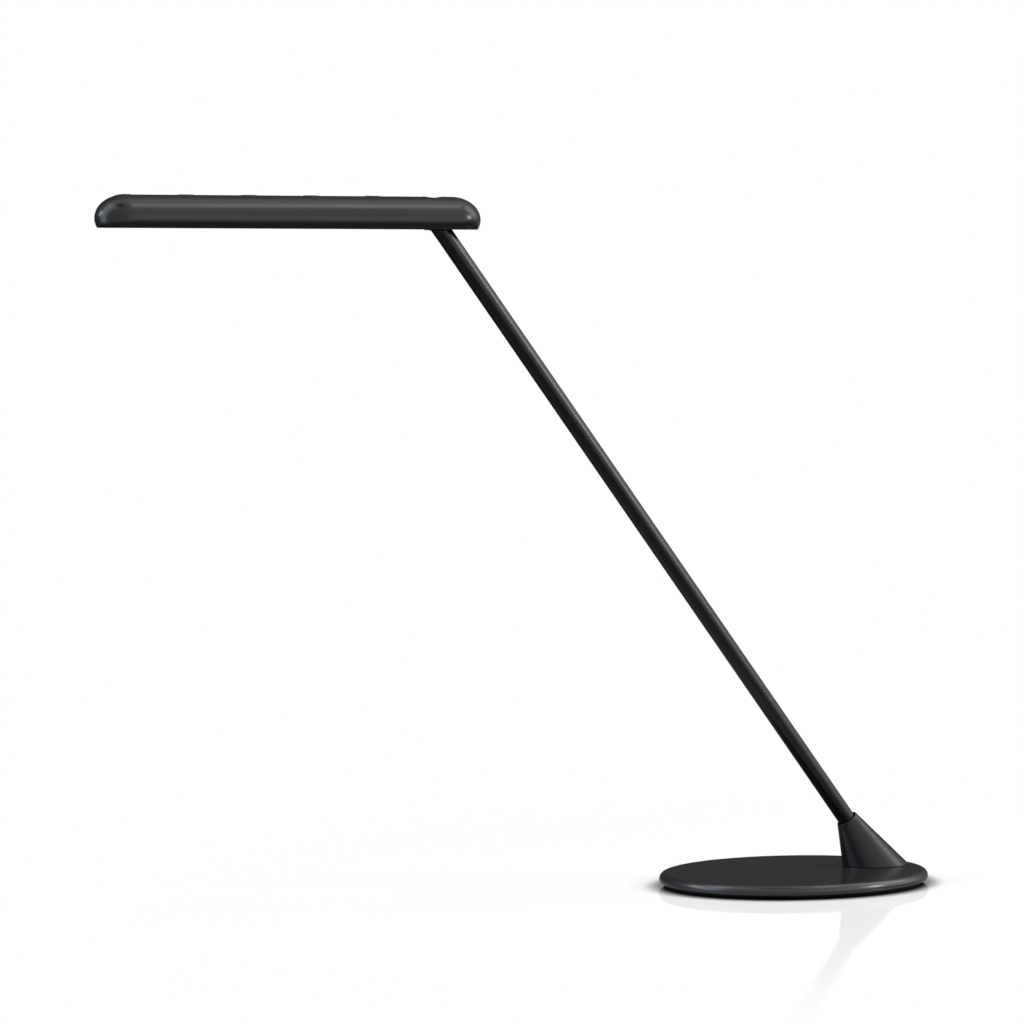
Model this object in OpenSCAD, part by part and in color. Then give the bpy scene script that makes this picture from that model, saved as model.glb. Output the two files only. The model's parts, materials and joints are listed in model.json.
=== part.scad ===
// Folding LED desk lamp: round weighted base, slanted tube arm in a cone boot,
// slim head that tilts and swivels on a turret, dished push button.
// Origin: centre of the base on the surface it stands on. +X points to the boot.

/* [Base] */
// Diameter of the base at its widest line
base_d = 200; // [180:1:230]
// Height of the flat top of the base
base_h = 10.2; // [10:0.1:13]
// Height of the widest line of the base's edge
edge_z = 5.3; // [4.8:0.1:6]
// How far the rounded edge reaches in from the widest line
edge_in = 4.5; // [3.5:0.1:6]
// Height of the cover's lower rim
rim_z = 2.5; // [2.2:0.1:2.9]
// Thickness of the cover's top
cover_t = 1.6; // [1.4:0.1:1.8]
// Wall of the cover's rim at the widest line
rim_t = 3; // [2.5:0.1:3.5]
// Thickness of the rubber foot pad
pad_t = 1.6; // [1.3:0.1:1.8]
// How far the foot pad stays inside the cover's rim
pad_in = 1.5; // [1:0.1:4]
// Thickness of the bottom plate
plate_t = 1; // [0.8:0.1:1.2]
// Distance of the base screws from the widest line
base_screw_in = 20; // [17:1:25]
// Number of base screws
base_screw_count = 4; // [3:1:6]
// Shank radius of the base screws
base_screw_r = 1.5; // [1.2:0.1:1.7]

/* [Boot and base swivel] */
// Distance of the boot's foot from the base's widest line
boot_edge = 7.9; // [7:0.1:16]
// Radius of the boot's round foot
boot_foot_r = 24.3; // [22:0.1:25]
// Outer radius of the boot at its mouth
boot_mouth_r = 8.3; // [7.8:0.1:10]
// Distance of the mouth from the top of the base, along the arm
boot_len = 44; // [38:1:50]
// Width of the open ring round the arm in the mouth
mouth_gap = 0.65; // [0.3:0.05:0.9]
// Gap between the boot's foot and the top of the base
foot_gap = 0.3; // [0.2:0.05:0.6]
// Outer radius of the spindle
spindle_r = 8; // [7.4:0.1:8.6]
// Radius of the cable bore through the spindle
spindle_bore_r = 5; // [4:0.1:5.5]
// Radius of the spindle's flange
spindle_flange_r = 16; // [15:0.1:17]
// Thickness of the spindle's flange
spindle_flange_t = 3; // [2.5:0.1:3.5]
// Wall of the swivel bush
bush_t = 2; // [1.5:0.1:2.2]
// Width of the bush's flange beyond its sleeve
bush_flange_w = 4; // [3:0.1:4.5]
// Thickness of the bush's flange
bush_flange_t = 1.2; // [1:0.1:1.4]
// Thickness of the friction washer
washer_t = 0.6; // [0.4:0.1:0.8]
// Thickness of the stop ring
stop_ring_t = 0.8; // [0.6:0.1:1]
// Thickness of the lock nut
lock_nut_t = 1.4; // [1.2:0.1:1.5]
// Radius of the stop pin
stop_pin_r = 1.25; // [1:0.05:1.3]
// Radius of the grub screw that holds the arm in the boot
grub_r = 2; // [1.5:0.1:2.5]
// Distance of the grub screw from the top of the base, along the arm
grub_s = 30; // [26:1:34]

/* [Arm] */
// Outer diameter of the arm tube
arm_d = 13; // [12:0.1:13.2]
// Wall of the arm tube
arm_wall = 1.2; // [1:0.1:1.5]
// Lean of the arm from the vertical, in degrees
arm_lean = 35.44; // [33:0.1:38]
// How far behind the swivel axis the arm's axis meets the top of the base
arm_shift = 2.45; // [1.2:0.05:3.2]
// Distance of the tilt bolt from the top of the base, along the arm
arm_len = 597.4; // [450:0.1:700]
// Where the tube's lower end sits, along the arm
tube_start = 12; // [11:0.5:16]
// Diameter of the low-voltage leads
lead_d = 1.8; // [1.4:0.1:1.9]

/* [Tilt and swivel of the head] */
// Radius of the knuckle's eye
eye_r = 6; // [5.6:0.1:6.1]
// Half width of the knuckle's eye
eye_half = 5.6; // [5:0.1:5.8]
// Radius of the tilt bolt
bolt_r = 2; // [1.5:0.1:2]
// Distance from the tilt bolt to the end of the tube
tube_drop = 8.5; // [8.3:0.1:10]
// Radius of the turret
turret_r = 14; // [13.8:0.1:14.5]
// Wall of the turret at the ends of its slot
turret_wall = 1.1; // [0.8:0.1:1.2]
// Gap between the tube and the sides of the turret's slot
slot_gap = 0.4; // [0.3:0.05:0.8]
// How far the turret's collar stands out of the underside of the head
collar_out = 0.5; // [0.2:0.1:1]
// Radius of the turret's collar
collar_r = 9.8; // [9:0.1:11]
// Width of the turret's flange
turret_flange_w = 2.5; // [2:0.1:2.6]
// Thickness of the turret's flange
turret_flange_t = 1.5; // [1.2:0.1:1.8]
// Height of the turret above the tilt bolt
turret_top = 6.5; // [6.3:0.1:6.6]

/* [Head shell] */
// Length of the head
head_len = 292; // [240:1:340]
// Width of the head at its widest line
head_w = 42.8; // [41.8:0.1:50]
// Height of the crest above the widest line
crown_h = 16.7; // [16.2:0.1:18]
// Depth of the underside below the widest line
belly_h = 6.95; // [6.5:0.05:7.5]
// Height of the widest line above the tilt bolt
crown_lift = 2.5; // [2.2:0.1:2.8]
// Distance from the tilt bolt to the arm end of the head
head_back = 32.4; // [31.8:0.1:36]
// Tip-up slope of the head at rest, in degrees
head_pitch = 1.51; // [0:0.1:3]
// Wall of the head shell
head_wall = 1.8; // [1.6:0.1:2]
// Thickness of the under cover
under_t = 2; // [1.8:0.1:2.2]

/* [Screw plugs and light] */
// Number of screw plugs along the crest
plug_count = 5; // [2:1:5]
// Distance of the last screw plug from the tip of the head
plug_tip = 20.1; // [19:0.1:30]
// Radius of a screw plug
plug_r = 5.5; // [5:0.1:6]
// How far a plug stands proud of the crest
plug_proud = 0.3; // [0.1:0.05:0.5]
// Outer radius of the screw wells under the plugs
well_r = 4.2; // [4:0.1:4.5]
// Half width of the light window
window_half = 12; // [10:0.1:12.5]
// Distance between light-emitting chips
chip_pitch = 9; // [7:0.5:15]
// Length of a light-emitting chip
chip_len = 3.5; // [2.8:0.1:5]
// Thickness of the heat sink's plate
sink_t = 2; // [1.5:0.1:2.5]
// Height of the heat sink's ribs
rib_h = 7; // [5:0.1:7.5]

/* [Button] */
// Radius of the push button
button_r = 8.7; // [8:0.1:9]
// Gap round the push button
button_gap = 0.35; // [0.2:0.05:0.5]
// Distance of the button from the tilt bolt, towards the tip
button_back = 3; // [2:0.1:4]
// Radius of the button's dish
dish_r = 7.3; // [5:0.1:7.6]
// Depth of the button's dish
dish_depth = 1.15; // [0.3:0.05:1.5]
// Travel of the button
button_travel = 0.6; // [0.4:0.05:0.7]

/* [Hidden] */

// Clearances
run_fit = 0.05;      // radial, between a shaft and the bore it turns in
seat_fit = 0.05;     // radial, between pieces that are pushed together
loose_fit = 0.3;     // between pieces that only pass each other
screw_gap = 0.15;    // radial, round a screw's shank in the hole it passes
part_gap = 0.4;      // between pieces that never touch
thread_fit = 0.02;   // radial, between a thread and its hole
cut = 1;             // how far a cutting shape runs past the face it opens
fine = 96;           // facets of a round seen from outside
round_fn = 48;       // facets of a hidden round
hull_fn = 32;        // facets of the rounds inside a hull
arc_n = 14;          // points along an edge curve

// Colours
satin_black = [0.09, 0.09, 0.095];
powder_black = [0.12, 0.12, 0.125];
rubber_black = [0.05, 0.05, 0.05];
steel_grey = [0.62, 0.63, 0.65];
zinc_grey = [0.7, 0.7, 0.72];
board_green = [0.1, 0.32, 0.18];
board_white = [0.9, 0.9, 0.88];
lens_white = [0.93, 0.93, 0.9];
chip_yellow = [0.95, 0.85, 0.4];
nylon_white = [0.85, 0.85, 0.82];

// Points on an ellipse, from angle a0 to angle a1
function arc(x, y, rx, ry, a0, a1, n = arc_n) =
    [for (i = [0:n]) let (a = a0 + (a1 - a0) * i / n) [x + rx * cos(a), y + ry * sin(a)]];

// ---- Base ----
base_r = base_d / 2;
base_screw_ring = base_r - base_screw_in;
boot_x = base_r - boot_edge - boot_foot_r;   // swivel axis
arm_foot_x = boot_x + arm_shift;             // where the arm's axis meets the base's top
plate_top = pad_t + plate_t;
cover_in_z = base_h - cover_t;
well_h = cover_in_z - plate_top;             // height of the room inside the base
edge_low = 3.4;                              // how deep the edge's lower curve would reach
rim_angle = asin((edge_z - rim_z) / edge_low);
rim_in_r = base_r - rim_t;                   // inner radius of the cover's rim
rim_fillet = 3;                              // round between the rim and the top, inside
edge_step = 6;                               // first step of the edge's lower curve, in degrees
edge_n = 8;                                  // points along the edge's lower curve
fillet_n = 6;                                // points along the inside round
plate_r = rim_in_r - loose_fit;
pad_r = rim_in_r - pad_in;
weight_r = rim_in_r - rim_fillet - part_gap;
boss_r = 4;                                  // cover's screw bosses
base_head_r = base_screw_r + 1.3;
base_head_t = 1.1;
base_head_gap = 0.6;                         // pad's clearance round a screw head
base_screw_len = plate_t + well_h - 1;
cross_w = 0.5;                               // cross recess of the base screws
cross_len = 3;
cross_depth = 0.6;

// Swivel stack, from the cover's underside down
bush_in_r = spindle_r + run_fit;
bush_r = bush_in_r + bush_t;
bush_flange_r = bush_r + bush_flange_w;
bush_z = cover_in_z - bush_flange_t;
washer_z = bush_z - washer_t;
stop_ring_z = washer_z - stop_ring_t;
lock_nut_z = stop_ring_z - lock_nut_t;
lock_nut_r = spindle_r + 4.7;                // across the corners
stop_ring_r = bush_flange_r - 1;
stop_pin_ring = bush_flange_r + stop_pin_r + loose_fit + part_gap;
stop_pin_z = stop_ring_z - 0.2;              // the pin reaches past the lug
lug_w = 2.6;
lug_r = stop_pin_ring + stop_pin_r;
swivel_pocket_r = lug_r + 5.7;               // leaves room for the inlet lead to pass round
glide_r = boot_foot_r - 4;
foot_z = base_h + foot_gap;                  // underside of the boot

// Driver and inlet
lead_r = lead_d / 2;
lead_z = plate_top + lead_r + 0.1;           // leads lie on the bottom plate
board_len = 36;
board_shift = 37.8;                          // from the swivel axis to the driver board's end
board_x1 = boot_x - board_shift;
board_x0 = board_x1 - board_len;
board_half = 12;
board_room = 2;                              // weight's clearance round the driver board
sheet_t = 0.5;
sheet_over = 1;                              // how far the insulator reaches past the board
board_t = 1;
board_z = plate_top + sheet_t;
part_h = cover_in_z - board_z - board_t - part_gap;
driver_cans = [
    [7, 4, 4.5, part_h], [7, -7, 3.1, part_h - loose_fit], [17, -7, 3.1, part_h - loose_fit]
];
driver_chips = [[15, 1, 6, 5, 1.4], [25, -3, 4, 6, 1.1]];
jack_x0 = swivel_pocket_r + boot_x - 3.5;    // back of the inlet
jack_x1 = rim_in_r - 2.2;                    // shoulder of the inlet, inside the rim
jack_nose = base_r - 1;
jack_half = 3.6;
jack_h = well_h - part_gap;
jack_z = plate_top + jack_h / 2;
jack_bore_r = 1.85;
jack_nose_r = 2.5;
jack_pin_r = 0.65;
jack_wall = 1.5;                             // closed back of the inlet
jack_pin_in = 1.5;                           // how far the pin stays inside the nose
inlet_route_r = swivel_pocket_r - lead_r - 1.2;

// ---- Arm ----
arm_r = arm_d / 2;
arm_bore_r = arm_r - arm_wall;
tube_end = arm_len - tube_drop;
pivot = [arm_foot_x - arm_len * sin(arm_lean), 0, base_h + arm_len * cos(arm_lean)];
mouth_r = arm_r + mouth_gap;
mouth_depth = 4;
boot_edge_h = 0.8;                           // upright edge of the boot's foot
boot_mouth_t = 1;                            // upright edge of its mouth
boot_void_top = foot_z + 8;
flange_screw_count = 3;
flange_screw_ring = (spindle_flange_r + spindle_r) / 2;
flange_screw_r = 1.25;
flange_screw_len = spindle_flange_t + 3.6;
flange_head_r = 2.3;
flange_head_t = 1.2;
flange_head_z = 0.2;                         // how far the heads sit above the flange's face
grub_len = 5;
grub_key = 2;                                // depth of its hexagon socket
spigot_len = 20;                             // knuckle's spigot in the tube
spigot_bore_r = 3;
fork_depth = 7;                              // how far the fork reaches below the bolt
arm_bolt_gap = 1.4;                          // half width of the fork that lets the lead past the bolt

// ---- Head, in its own frame: origin at the tilt bolt, x towards the arm end, z to the crest ----
head_half = head_w / 2;
core_x1 = head_back - head_half;             // centre of the round end near the arm
core_x0 = head_back - head_len + head_half;  // centre of the round tip
crest_z = crown_lift + crown_h;
under_z = crown_lift - belly_h;              // underside of the head
under_in_z = under_z + under_t;              // upper face of the under cover
turret_z = under_z - collar_out;
slot_half = arm_r + slot_gap;
slot_r = turret_r - turret_wall;
flange_r = turret_r + turret_flange_w;
ring_t = 0.4;                                // swivel ring, below the flange
flange_z = under_in_z + ring_t + run_fit;
flange_top = flange_z + turret_flange_t;
seat_z = flange_top + run_fit;
seat_t = 2;
seat_post_r = 3.2;
seat_arm_half = 2.6;
seat_top = seat_z + seat_t;
bolt_head_r = bolt_r + 1.5;
bolt_head_t = 2.5;
bolt_head_y = slot_half + 3.45;              // seat of the bolt's head and of its nut
bolt_key = 1.6;                              // depth of its hexagon socket
nut_r = bolt_r * 2 + 0.04;
nut_t = 2.2;
tilt_washer_t = slot_half - eye_half - run_fit;
turret_bore_r = turret_r + 0.1;

// Cavity of the shell at the height of the under cover
cave_half = head_half - head_wall;
cave_h = crown_h - head_wall;
under_half = cave_half * sqrt(1 - pow(belly_h / cave_h, 2)) - 0.2;

// Wells, heat sink and boards
plug_seat_z = crest_z - 1.1;
plug_stem_r = well_r - 1.3;
plug_stem_len = 3;
plug_pitch = (head_len - head_back - button_back - plug_tip) / plug_count;
plug_x = [for (k = [1:plug_count]) -button_back - k * plug_pitch];
board_low = under_in_z + 3.25;               // underside of the LED board
led_board_t = 1.2;
sink_z = board_low + led_board_t;
sink_top = sink_z + sink_t;
sink_half = window_half + 2;
well_floor = 3;
sink_screw_r = 1.25;
sink_head_t = 2;
sink_key_r = 1.1;
sink_x1 = -turret_r - 19;
sink_x0 = core_x0 - 9;
rib_x0 = core_x0 - 2;
rib_t = 1.4;
rib_y = [3.5, 8.5, 13];
window_x1 = -turret_r - 14;
window_x0 = core_x0 + 2.2;
frame_w = 2;                                 // diffuser's flange beyond its window
frame_t = 1.2;
chip_w = 2.8;
chip_t = 0.8;
board_end = 6;                               // bare pads at the LED board's arm end
tail_x = core_x0 - 12.8;                     // cover screw at the tip
side_screw_x = -turret_r - 8;
side_screw_y = 12;
back_screw_x = turret_r + 8;
cover_screw_at = [
    [back_screw_x, 0], [side_screw_x, side_screw_y], [side_screw_x, -side_screw_y], [tail_x, 0]
];
cover_screw_r = 1.1;
post_r = 2.8;
cover_head_r = 2 * cover_screw_r;
cover_head_t = 1.1;
cover_head_z = 0.1;                          // how far the heads sit inside the under cover
cover_screw_z = cover_head_z + cover_head_t / 2;
cover_screw_len = under_in_z - under_z + 7.2;
cover_pilot = cover_screw_len - under_t + 1.4;
cover_cross_w = 0.4;

// Button and switch
switch_board_z = turret_top + 3.5;
switch_board_t = 1;
switch_board_half = 8;
switch_z = switch_board_z + switch_board_t;
switch_h = 3;
switch_half = 3;
plunger_r = 1.7;
switch_floor = 1;
plunger_z0 = switch_z + switch_floor + button_travel + loose_fit;
button_z = switch_z + switch_h + button_travel + 0.4;   // underside of the button
hook_w = 1.5;
hook_half = 2.5;
hook_t = 1.1;
hook_z = button_z + 0.5;
board_hole_x = [-turret_r - 4, turret_r];
board_screw_r = 0.95;
board_head_r = 2;
board_head_t = 1.3;
switch_board_end = board_head_r + 1;         // board beyond its screws
switch_board_len = board_hole_x[1] - board_hole_x[0] + 2 * switch_board_end;
board_post_r = 2.4;
board_pilot = 3.6;
button_top_lift = 0.1;
button_wall = 1.4;
button_core_r = 3;
button_hollow = 1.2;

// ---- Frames and shared shapes ----
module in_arm() translate([arm_foot_x, 0, base_h]) rotate([0, -arm_lean, 0]) children();
module in_head() translate(pivot) rotate([0, head_pitch, 0]) children();
module at_boot(z = 0) translate([boot_x, 0, z]) children();
module around(count, radius, first = 0)
    for (i = [0:count - 1]) rotate([0, 0, first + i * 360 / count]) translate([radius, 0, 0]) children();

module ring(outer, inner, h) difference() {
    cylinder(r = outer, h = h, $fn = fine);
    translate([0, 0, -cut]) cylinder(r = inner, h = h + 2 * cut, $fn = fine);
}

// Cross recess cut up into a screw head from its face
module cross_recess(length, width) for (a = [0, 90]) rotate([0, 0, a])
    translate([-length / 2, -width / 2, -cut]) cube([length, width, cut + cross_depth]);

// Plate with round ends, from x0 to x1 over all
module stadium(x0, x1, r, h) linear_extrude(height = h) union() {
    translate([x0 + r, -r]) square([x1 - x0 - 2 * r, 2 * r]);
    for (x = [x0 + r, x1 - r]) translate([x, 0]) circle(r = r, $fn = fine);
}

// Points on the arm's axis and beside it, in the XZ plane
function arm_pt(s, off = 0) = [
    arm_foot_x - s * sin(arm_lean) + off * cos(arm_lean), 0,
    base_h + s * cos(arm_lean) + off * sin(arm_lean)
];

// Round lead swept along points that lie in one plane; side is that plane's normal
lead_sides = 10;
function unit(v) = v / norm(v);
function run(path, i) = unit(path[min(i + 1, len(path) - 1)] - path[max(i - 1, 0)]);
module lead(path, r, side) {
    rings = len(path);
    points = [for (i = [0:rings - 1]) let (across = cross(side, run(path, i)))
        for (k = [0:lead_sides - 1]) let (a = 360 * k / lead_sides)
            path[i] + r * cos(a) * across + r * sin(a) * side];
    start = [[for (k = [0:lead_sides - 1]) k]];
    end = [[for (k = [lead_sides - 1:-1:0]) (rings - 1) * lead_sides + k]];
    walls = [for (i = [0:rings - 2]) for (k = [0:lead_sides - 1])
        let (n = (k + 1) % lead_sides, low = i * lead_sides, high = low + lead_sides)
            [low + k, high + k, high + n, low + n]];
    polyhedron(points = points, faces = concat(start, walls, end), convexity = 6);
}

// ---- Base pieces ----
module cover_section() polygon(concat(
    [[0, base_h]],
    arc(base_r - edge_in, edge_z, edge_in, base_h - edge_z, 90, 0),
    arc(base_r - edge_in, edge_z, edge_in, edge_low, -edge_step, -rim_angle, edge_n),
    [[rim_in_r, rim_z]],
    arc(rim_in_r - rim_fillet, cover_in_z - rim_fillet, rim_fillet, rim_fillet, 0, 90, fillet_n),
    [[0, cover_in_z]]
));

module base_cover() color(powder_black) difference() {
    union() {
        rotate_extrude($fn = fine) cover_section();
        around(base_screw_count, base_screw_ring, 180 / base_screw_count)
            translate([0, 0, plate_top]) cylinder(r = boss_r, h = well_h + cover_t / 2, $fn = round_fn);
    }
    at_boot(plate_top) cylinder(r = bush_r, h = base_h, $fn = fine);
    around(base_screw_count, base_screw_ring, 180 / base_screw_count)
        translate([0, 0, plate_top - cut])
            cylinder(r = base_screw_r, h = cut + well_h - part_gap, $fn = round_fn);
    translate([rim_in_r - rim_fillet, 0, jack_z]) rotate([0, 90, 0])
        cylinder(r = jack_nose_r + seat_fit, h = rim_fillet + rim_t + cut, $fn = round_fn);
}

module base_weight() color(steel_grey) translate([0, 0, plate_top]) difference() {
    cylinder(r = weight_r, h = well_h, $fn = fine);
    at_boot(-cut) cylinder(r = swivel_pocket_r, h = well_h + 2 * cut, $fn = fine);
    around(base_screw_count, base_screw_ring, 180 / base_screw_count)
        translate([0, 0, -cut]) cylinder(r = boss_r + part_gap, h = well_h + 2 * cut, $fn = round_fn);
    translate([board_x0 - board_room, -board_half - board_room, -cut])
        cube([board_len + 2 * board_room, 2 * (board_half + board_room), well_h + 2 * cut]);
    translate([board_x1, -board_half, -cut])
        cube([boot_x - swivel_pocket_r / 2 - board_x1, 2 * board_half, well_h + 2 * cut]);
    translate([jack_x0 - cut, -jack_half - part_gap, -cut])
        cube([weight_r - jack_x0 + 2 * cut, 2 * (jack_half + part_gap), well_h + 2 * cut]);
}

module bottom_plate() color(powder_black) translate([0, 0, pad_t]) difference() {
    cylinder(r = plate_r, h = plate_t, $fn = fine);
    around(base_screw_count, base_screw_ring, 180 / base_screw_count)
        translate([0, 0, -cut])
            cylinder(r = base_screw_r + screw_gap, h = plate_t + 2 * cut, $fn = round_fn);
}

module foot_pad() color(rubber_black) difference() {
    cylinder(r = pad_r, h = pad_t, $fn = fine);
    around(base_screw_count, base_screw_ring, 180 / base_screw_count)
        translate([0, 0, -cut])
            cylinder(r = base_head_r + base_head_gap, h = pad_t + 2 * cut, $fn = round_fn);
}

module base_screws() color(zinc_grey)
    around(base_screw_count, base_screw_ring, 180 / base_screw_count) difference() {
        union() {
            translate([0, 0, pad_t - base_head_t])
                cylinder(r = base_head_r, h = base_head_t, $fn = round_fn);
            translate([0, 0, pad_t - base_head_t / 2])
                cylinder(r = base_screw_r - thread_fit, h = base_screw_len, $fn = round_fn);
        }
        translate([0, 0, pad_t - base_head_t]) cross_recess(cross_len, cross_w);
    }

module swivel_bush() color(nylon_white) at_boot() difference() {
    union() {
        translate([0, 0, bush_z]) cylinder(r = bush_flange_r, h = bush_flange_t, $fn = fine);
        translate([0, 0, bush_z]) cylinder(r = bush_r, h = base_h - bush_z, $fn = fine);
    }
    translate([0, 0, bush_z - cut]) cylinder(r = bush_in_r, h = base_h, $fn = fine);
}

module glide_ring() color(nylon_white)
    at_boot(base_h) ring(glide_r, spindle_r + loose_fit, foot_gap);

module friction_washer() color(steel_grey)
    at_boot(washer_z) ring(bush_flange_r - 0.5, spindle_r + loose_fit, washer_t);

module stop_pin() color(steel_grey)
    translate([boot_x - stop_pin_ring, 0, stop_pin_z])
        cylinder(r = stop_pin_r, h = cover_in_z - stop_pin_z, $fn = round_fn);

module insulator() color(board_white)
    translate([board_x0 - sheet_over, -board_half - sheet_over, plate_top])
        cube([board_len + sheet_over, 2 * (board_half + sheet_over), sheet_t]);

module driver_board() color(board_green)
    translate([board_x0, -board_half, board_z])
        cube([board_len, 2 * board_half, board_t]);

module driver_parts() color(rubber_black) translate([0, 0, board_z + board_t]) {
    for (c = driver_cans)
        translate([board_x0 + c[0], c[1], 0]) cylinder(r = c[2], h = c[3], $fn = round_fn);
    for (c = driver_chips)
        translate([board_x0 + c[0], c[1], 0]) cube([c[2], c[3], c[4]]);
}

module jack_axis(x) translate([x, 0, jack_z]) rotate([0, 90, 0]) children();

module dc_jack() color(rubber_black) difference() {
    union() {
        translate([jack_x0, -jack_half, plate_top]) cube([jack_x1 - jack_x0, 2 * jack_half, jack_h]);
        jack_axis(jack_x1 - cut) cylinder(r = jack_nose_r, h = jack_nose - jack_x1 + cut, $fn = round_fn);
    }
    jack_axis(jack_x0 + jack_wall) cylinder(r = jack_bore_r, h = jack_nose - jack_x0, $fn = round_fn);
}

module jack_pin() color(zinc_grey)
    jack_axis(jack_x0 + jack_wall)
        cylinder(r = jack_pin_r, h = jack_nose - jack_x0 - jack_wall - jack_pin_in, $fn = round_fn);

// The inlet lead goes round the swivel stack, flat on the bottom plate
function round_boot(a) =
    [boot_x + inlet_route_r * cos(a), inlet_route_r * sin(a), lead_z];
module inlet_lead() color(rubber_black) lead(concat(
    [[jack_x0 - 0.1, 1.6, lead_z], [jack_x0 - 1, 1.7, lead_z], [jack_x0 - 1.6, 2.9, lead_z]],
    [for (a = [20:12:140]) round_boot(a)],
    [[board_x1 + 13, board_half - 4.5, lead_z], [board_x1 + 6, board_half - 5, lead_z],
     [board_x1 + 0.2, board_half - 5, lead_z]]
), lead_r, [0, 0, 1]);

// The base lead runs from the driver to the spindle's bore and up its axis
module base_lead() color(rubber_black) lead([
    [board_x1 + 0.2, 0, lead_z], [board_x1 + 12, 0, lead_z], [boot_x - 7, 0, lead_z],
    [boot_x - 4, 0, lead_z], [boot_x - 1.6, 0, lead_z + 1],
    [boot_x - 0.3, 0, lead_z + 3.6], [boot_x, 0, lead_z + 5.6], [boot_x, 0, foot_z + 1]
], lead_r, [0, 1, 0]);

// ---- Arm pieces ----
module boot_body() hull() {
    at_boot(foot_z) cylinder(r = boot_foot_r, h = boot_edge_h, $fn = hull_fn);
    in_arm() translate([0, 0, boot_len - boot_mouth_t])
        cylinder(r = boot_mouth_r, h = boot_mouth_t, $fn = hull_fn);
}

module boot() color(satin_black) difference() {
    boot_body();
    at_boot(foot_z - cut) cylinder(r = spindle_flange_r + seat_fit, h = spindle_flange_t + cut, $fn = fine);
    at_boot(foot_z) cylinder(r = spindle_bore_r + 1, h = boot_void_top - foot_z, $fn = round_fn);
    in_arm() translate([0, 0, tube_start / 2]) cylinder(r = arm_bore_r, h = tube_start, $fn = round_fn);
    in_arm() translate([0, 0, tube_start]) cylinder(r = arm_r + seat_fit, h = boot_len, $fn = fine);
    in_arm() translate([0, 0, boot_len - mouth_depth]) cylinder(r = mouth_r, h = boot_len, $fn = fine);
    in_arm() translate([0, 0, grub_s]) rotate([-90, 0, 0])
        cylinder(r = grub_r + seat_fit, h = boot_foot_r, $fn = round_fn);
    at_boot(foot_z) around(flange_screw_count, flange_screw_ring)
        cylinder(r = flange_screw_r, h = flange_screw_len + cut, $fn = round_fn);
}

module spindle() color(steel_grey) at_boot() difference() {
    union() {
        translate([0, 0, foot_z]) cylinder(r = spindle_flange_r, h = spindle_flange_t, $fn = fine);
        translate([0, 0, lock_nut_z]) cylinder(r = spindle_r, h = foot_z + 1 - lock_nut_z, $fn = fine);
    }
    translate([0, 0, lock_nut_z - cut])
        cylinder(r = spindle_bore_r, h = foot_z + spindle_flange_t - lock_nut_z + 2 * cut, $fn = round_fn);
    around(flange_screw_count, flange_screw_ring) {
        translate([0, 0, foot_z - cut])
            cylinder(r = flange_head_r + screw_gap, h = cut + flange_head_z + flange_head_t, $fn = round_fn);
        translate([0, 0, foot_z])
            cylinder(r = flange_screw_r + screw_gap, h = spindle_flange_t + cut, $fn = round_fn);
    }
}

module spindle_screws() color(zinc_grey)
    at_boot(foot_z) around(flange_screw_count, flange_screw_ring) difference() {
        union() {
            translate([0, 0, flange_head_z]) cylinder(r = flange_head_r, h = flange_head_t, $fn = round_fn);
            translate([0, 0, flange_head_t / 2 + flange_head_z])
                cylinder(r = flange_screw_r - thread_fit, h = flange_screw_len, $fn = round_fn);
        }
        translate([0, 0, -cut])
            cylinder(r = 0.7 * flange_screw_r, h = cut + flange_head_t / 2 + flange_head_z, $fn = 6);
    }

module stop_ring() color(steel_grey) at_boot(stop_ring_z) difference() {
    union() {
        cylinder(r = stop_ring_r, h = stop_ring_t, $fn = fine);
        translate([spindle_r, -lug_w / 2, 0]) cube([lug_r - spindle_r, lug_w, stop_ring_t]);
    }
    translate([0, 0, -cut]) cylinder(r = spindle_r, h = stop_ring_t + 2 * cut, $fn = fine);
}

module lock_nut() color(zinc_grey) at_boot(lock_nut_z) difference() {
    cylinder(r = lock_nut_r, h = lock_nut_t, $fn = 6);
    translate([0, 0, -cut]) cylinder(r = spindle_r, h = lock_nut_t + 2 * cut, $fn = fine);
}

module grub_screw() color(zinc_grey)
    in_arm() translate([0, arm_r, grub_s]) rotate([-90, 0, 0]) difference() {
        cylinder(r = grub_r, h = grub_len, $fn = round_fn);
        translate([0, 0, grub_len - grub_key]) cylinder(r = grub_r / 2, h = grub_key + cut, $fn = 6);
    }

module arm_tube() color(satin_black)
    in_arm() translate([0, 0, tube_start]) ring(arm_r, arm_bore_r, tube_end - tube_start);

// The arm lead climbs the tube and passes the tilt bolt through the knuckle's fork
module arm_lead() color(rubber_black) lead([
    [boot_x, 0, foot_z + 1.3], [boot_x - 0.1, 0, foot_z + 3.6],
    arm_pt(tube_start - 2.6), arm_pt(tube_start + 3), arm_pt(arm_len / 2), arm_pt(tube_end - 6),
    arm_pt(arm_len - 10.5, -0.6), arm_pt(arm_len - 7, -1.9),
    arm_pt(arm_len - 3.6, -bolt_r - 1), arm_pt(arm_len, -bolt_r - 1.45),
    arm_pt(arm_len + 2.4, -bolt_r - 1), arm_pt(arm_len + 4, -bolt_r)
], lead_r, [0, 1, 0]);

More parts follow.
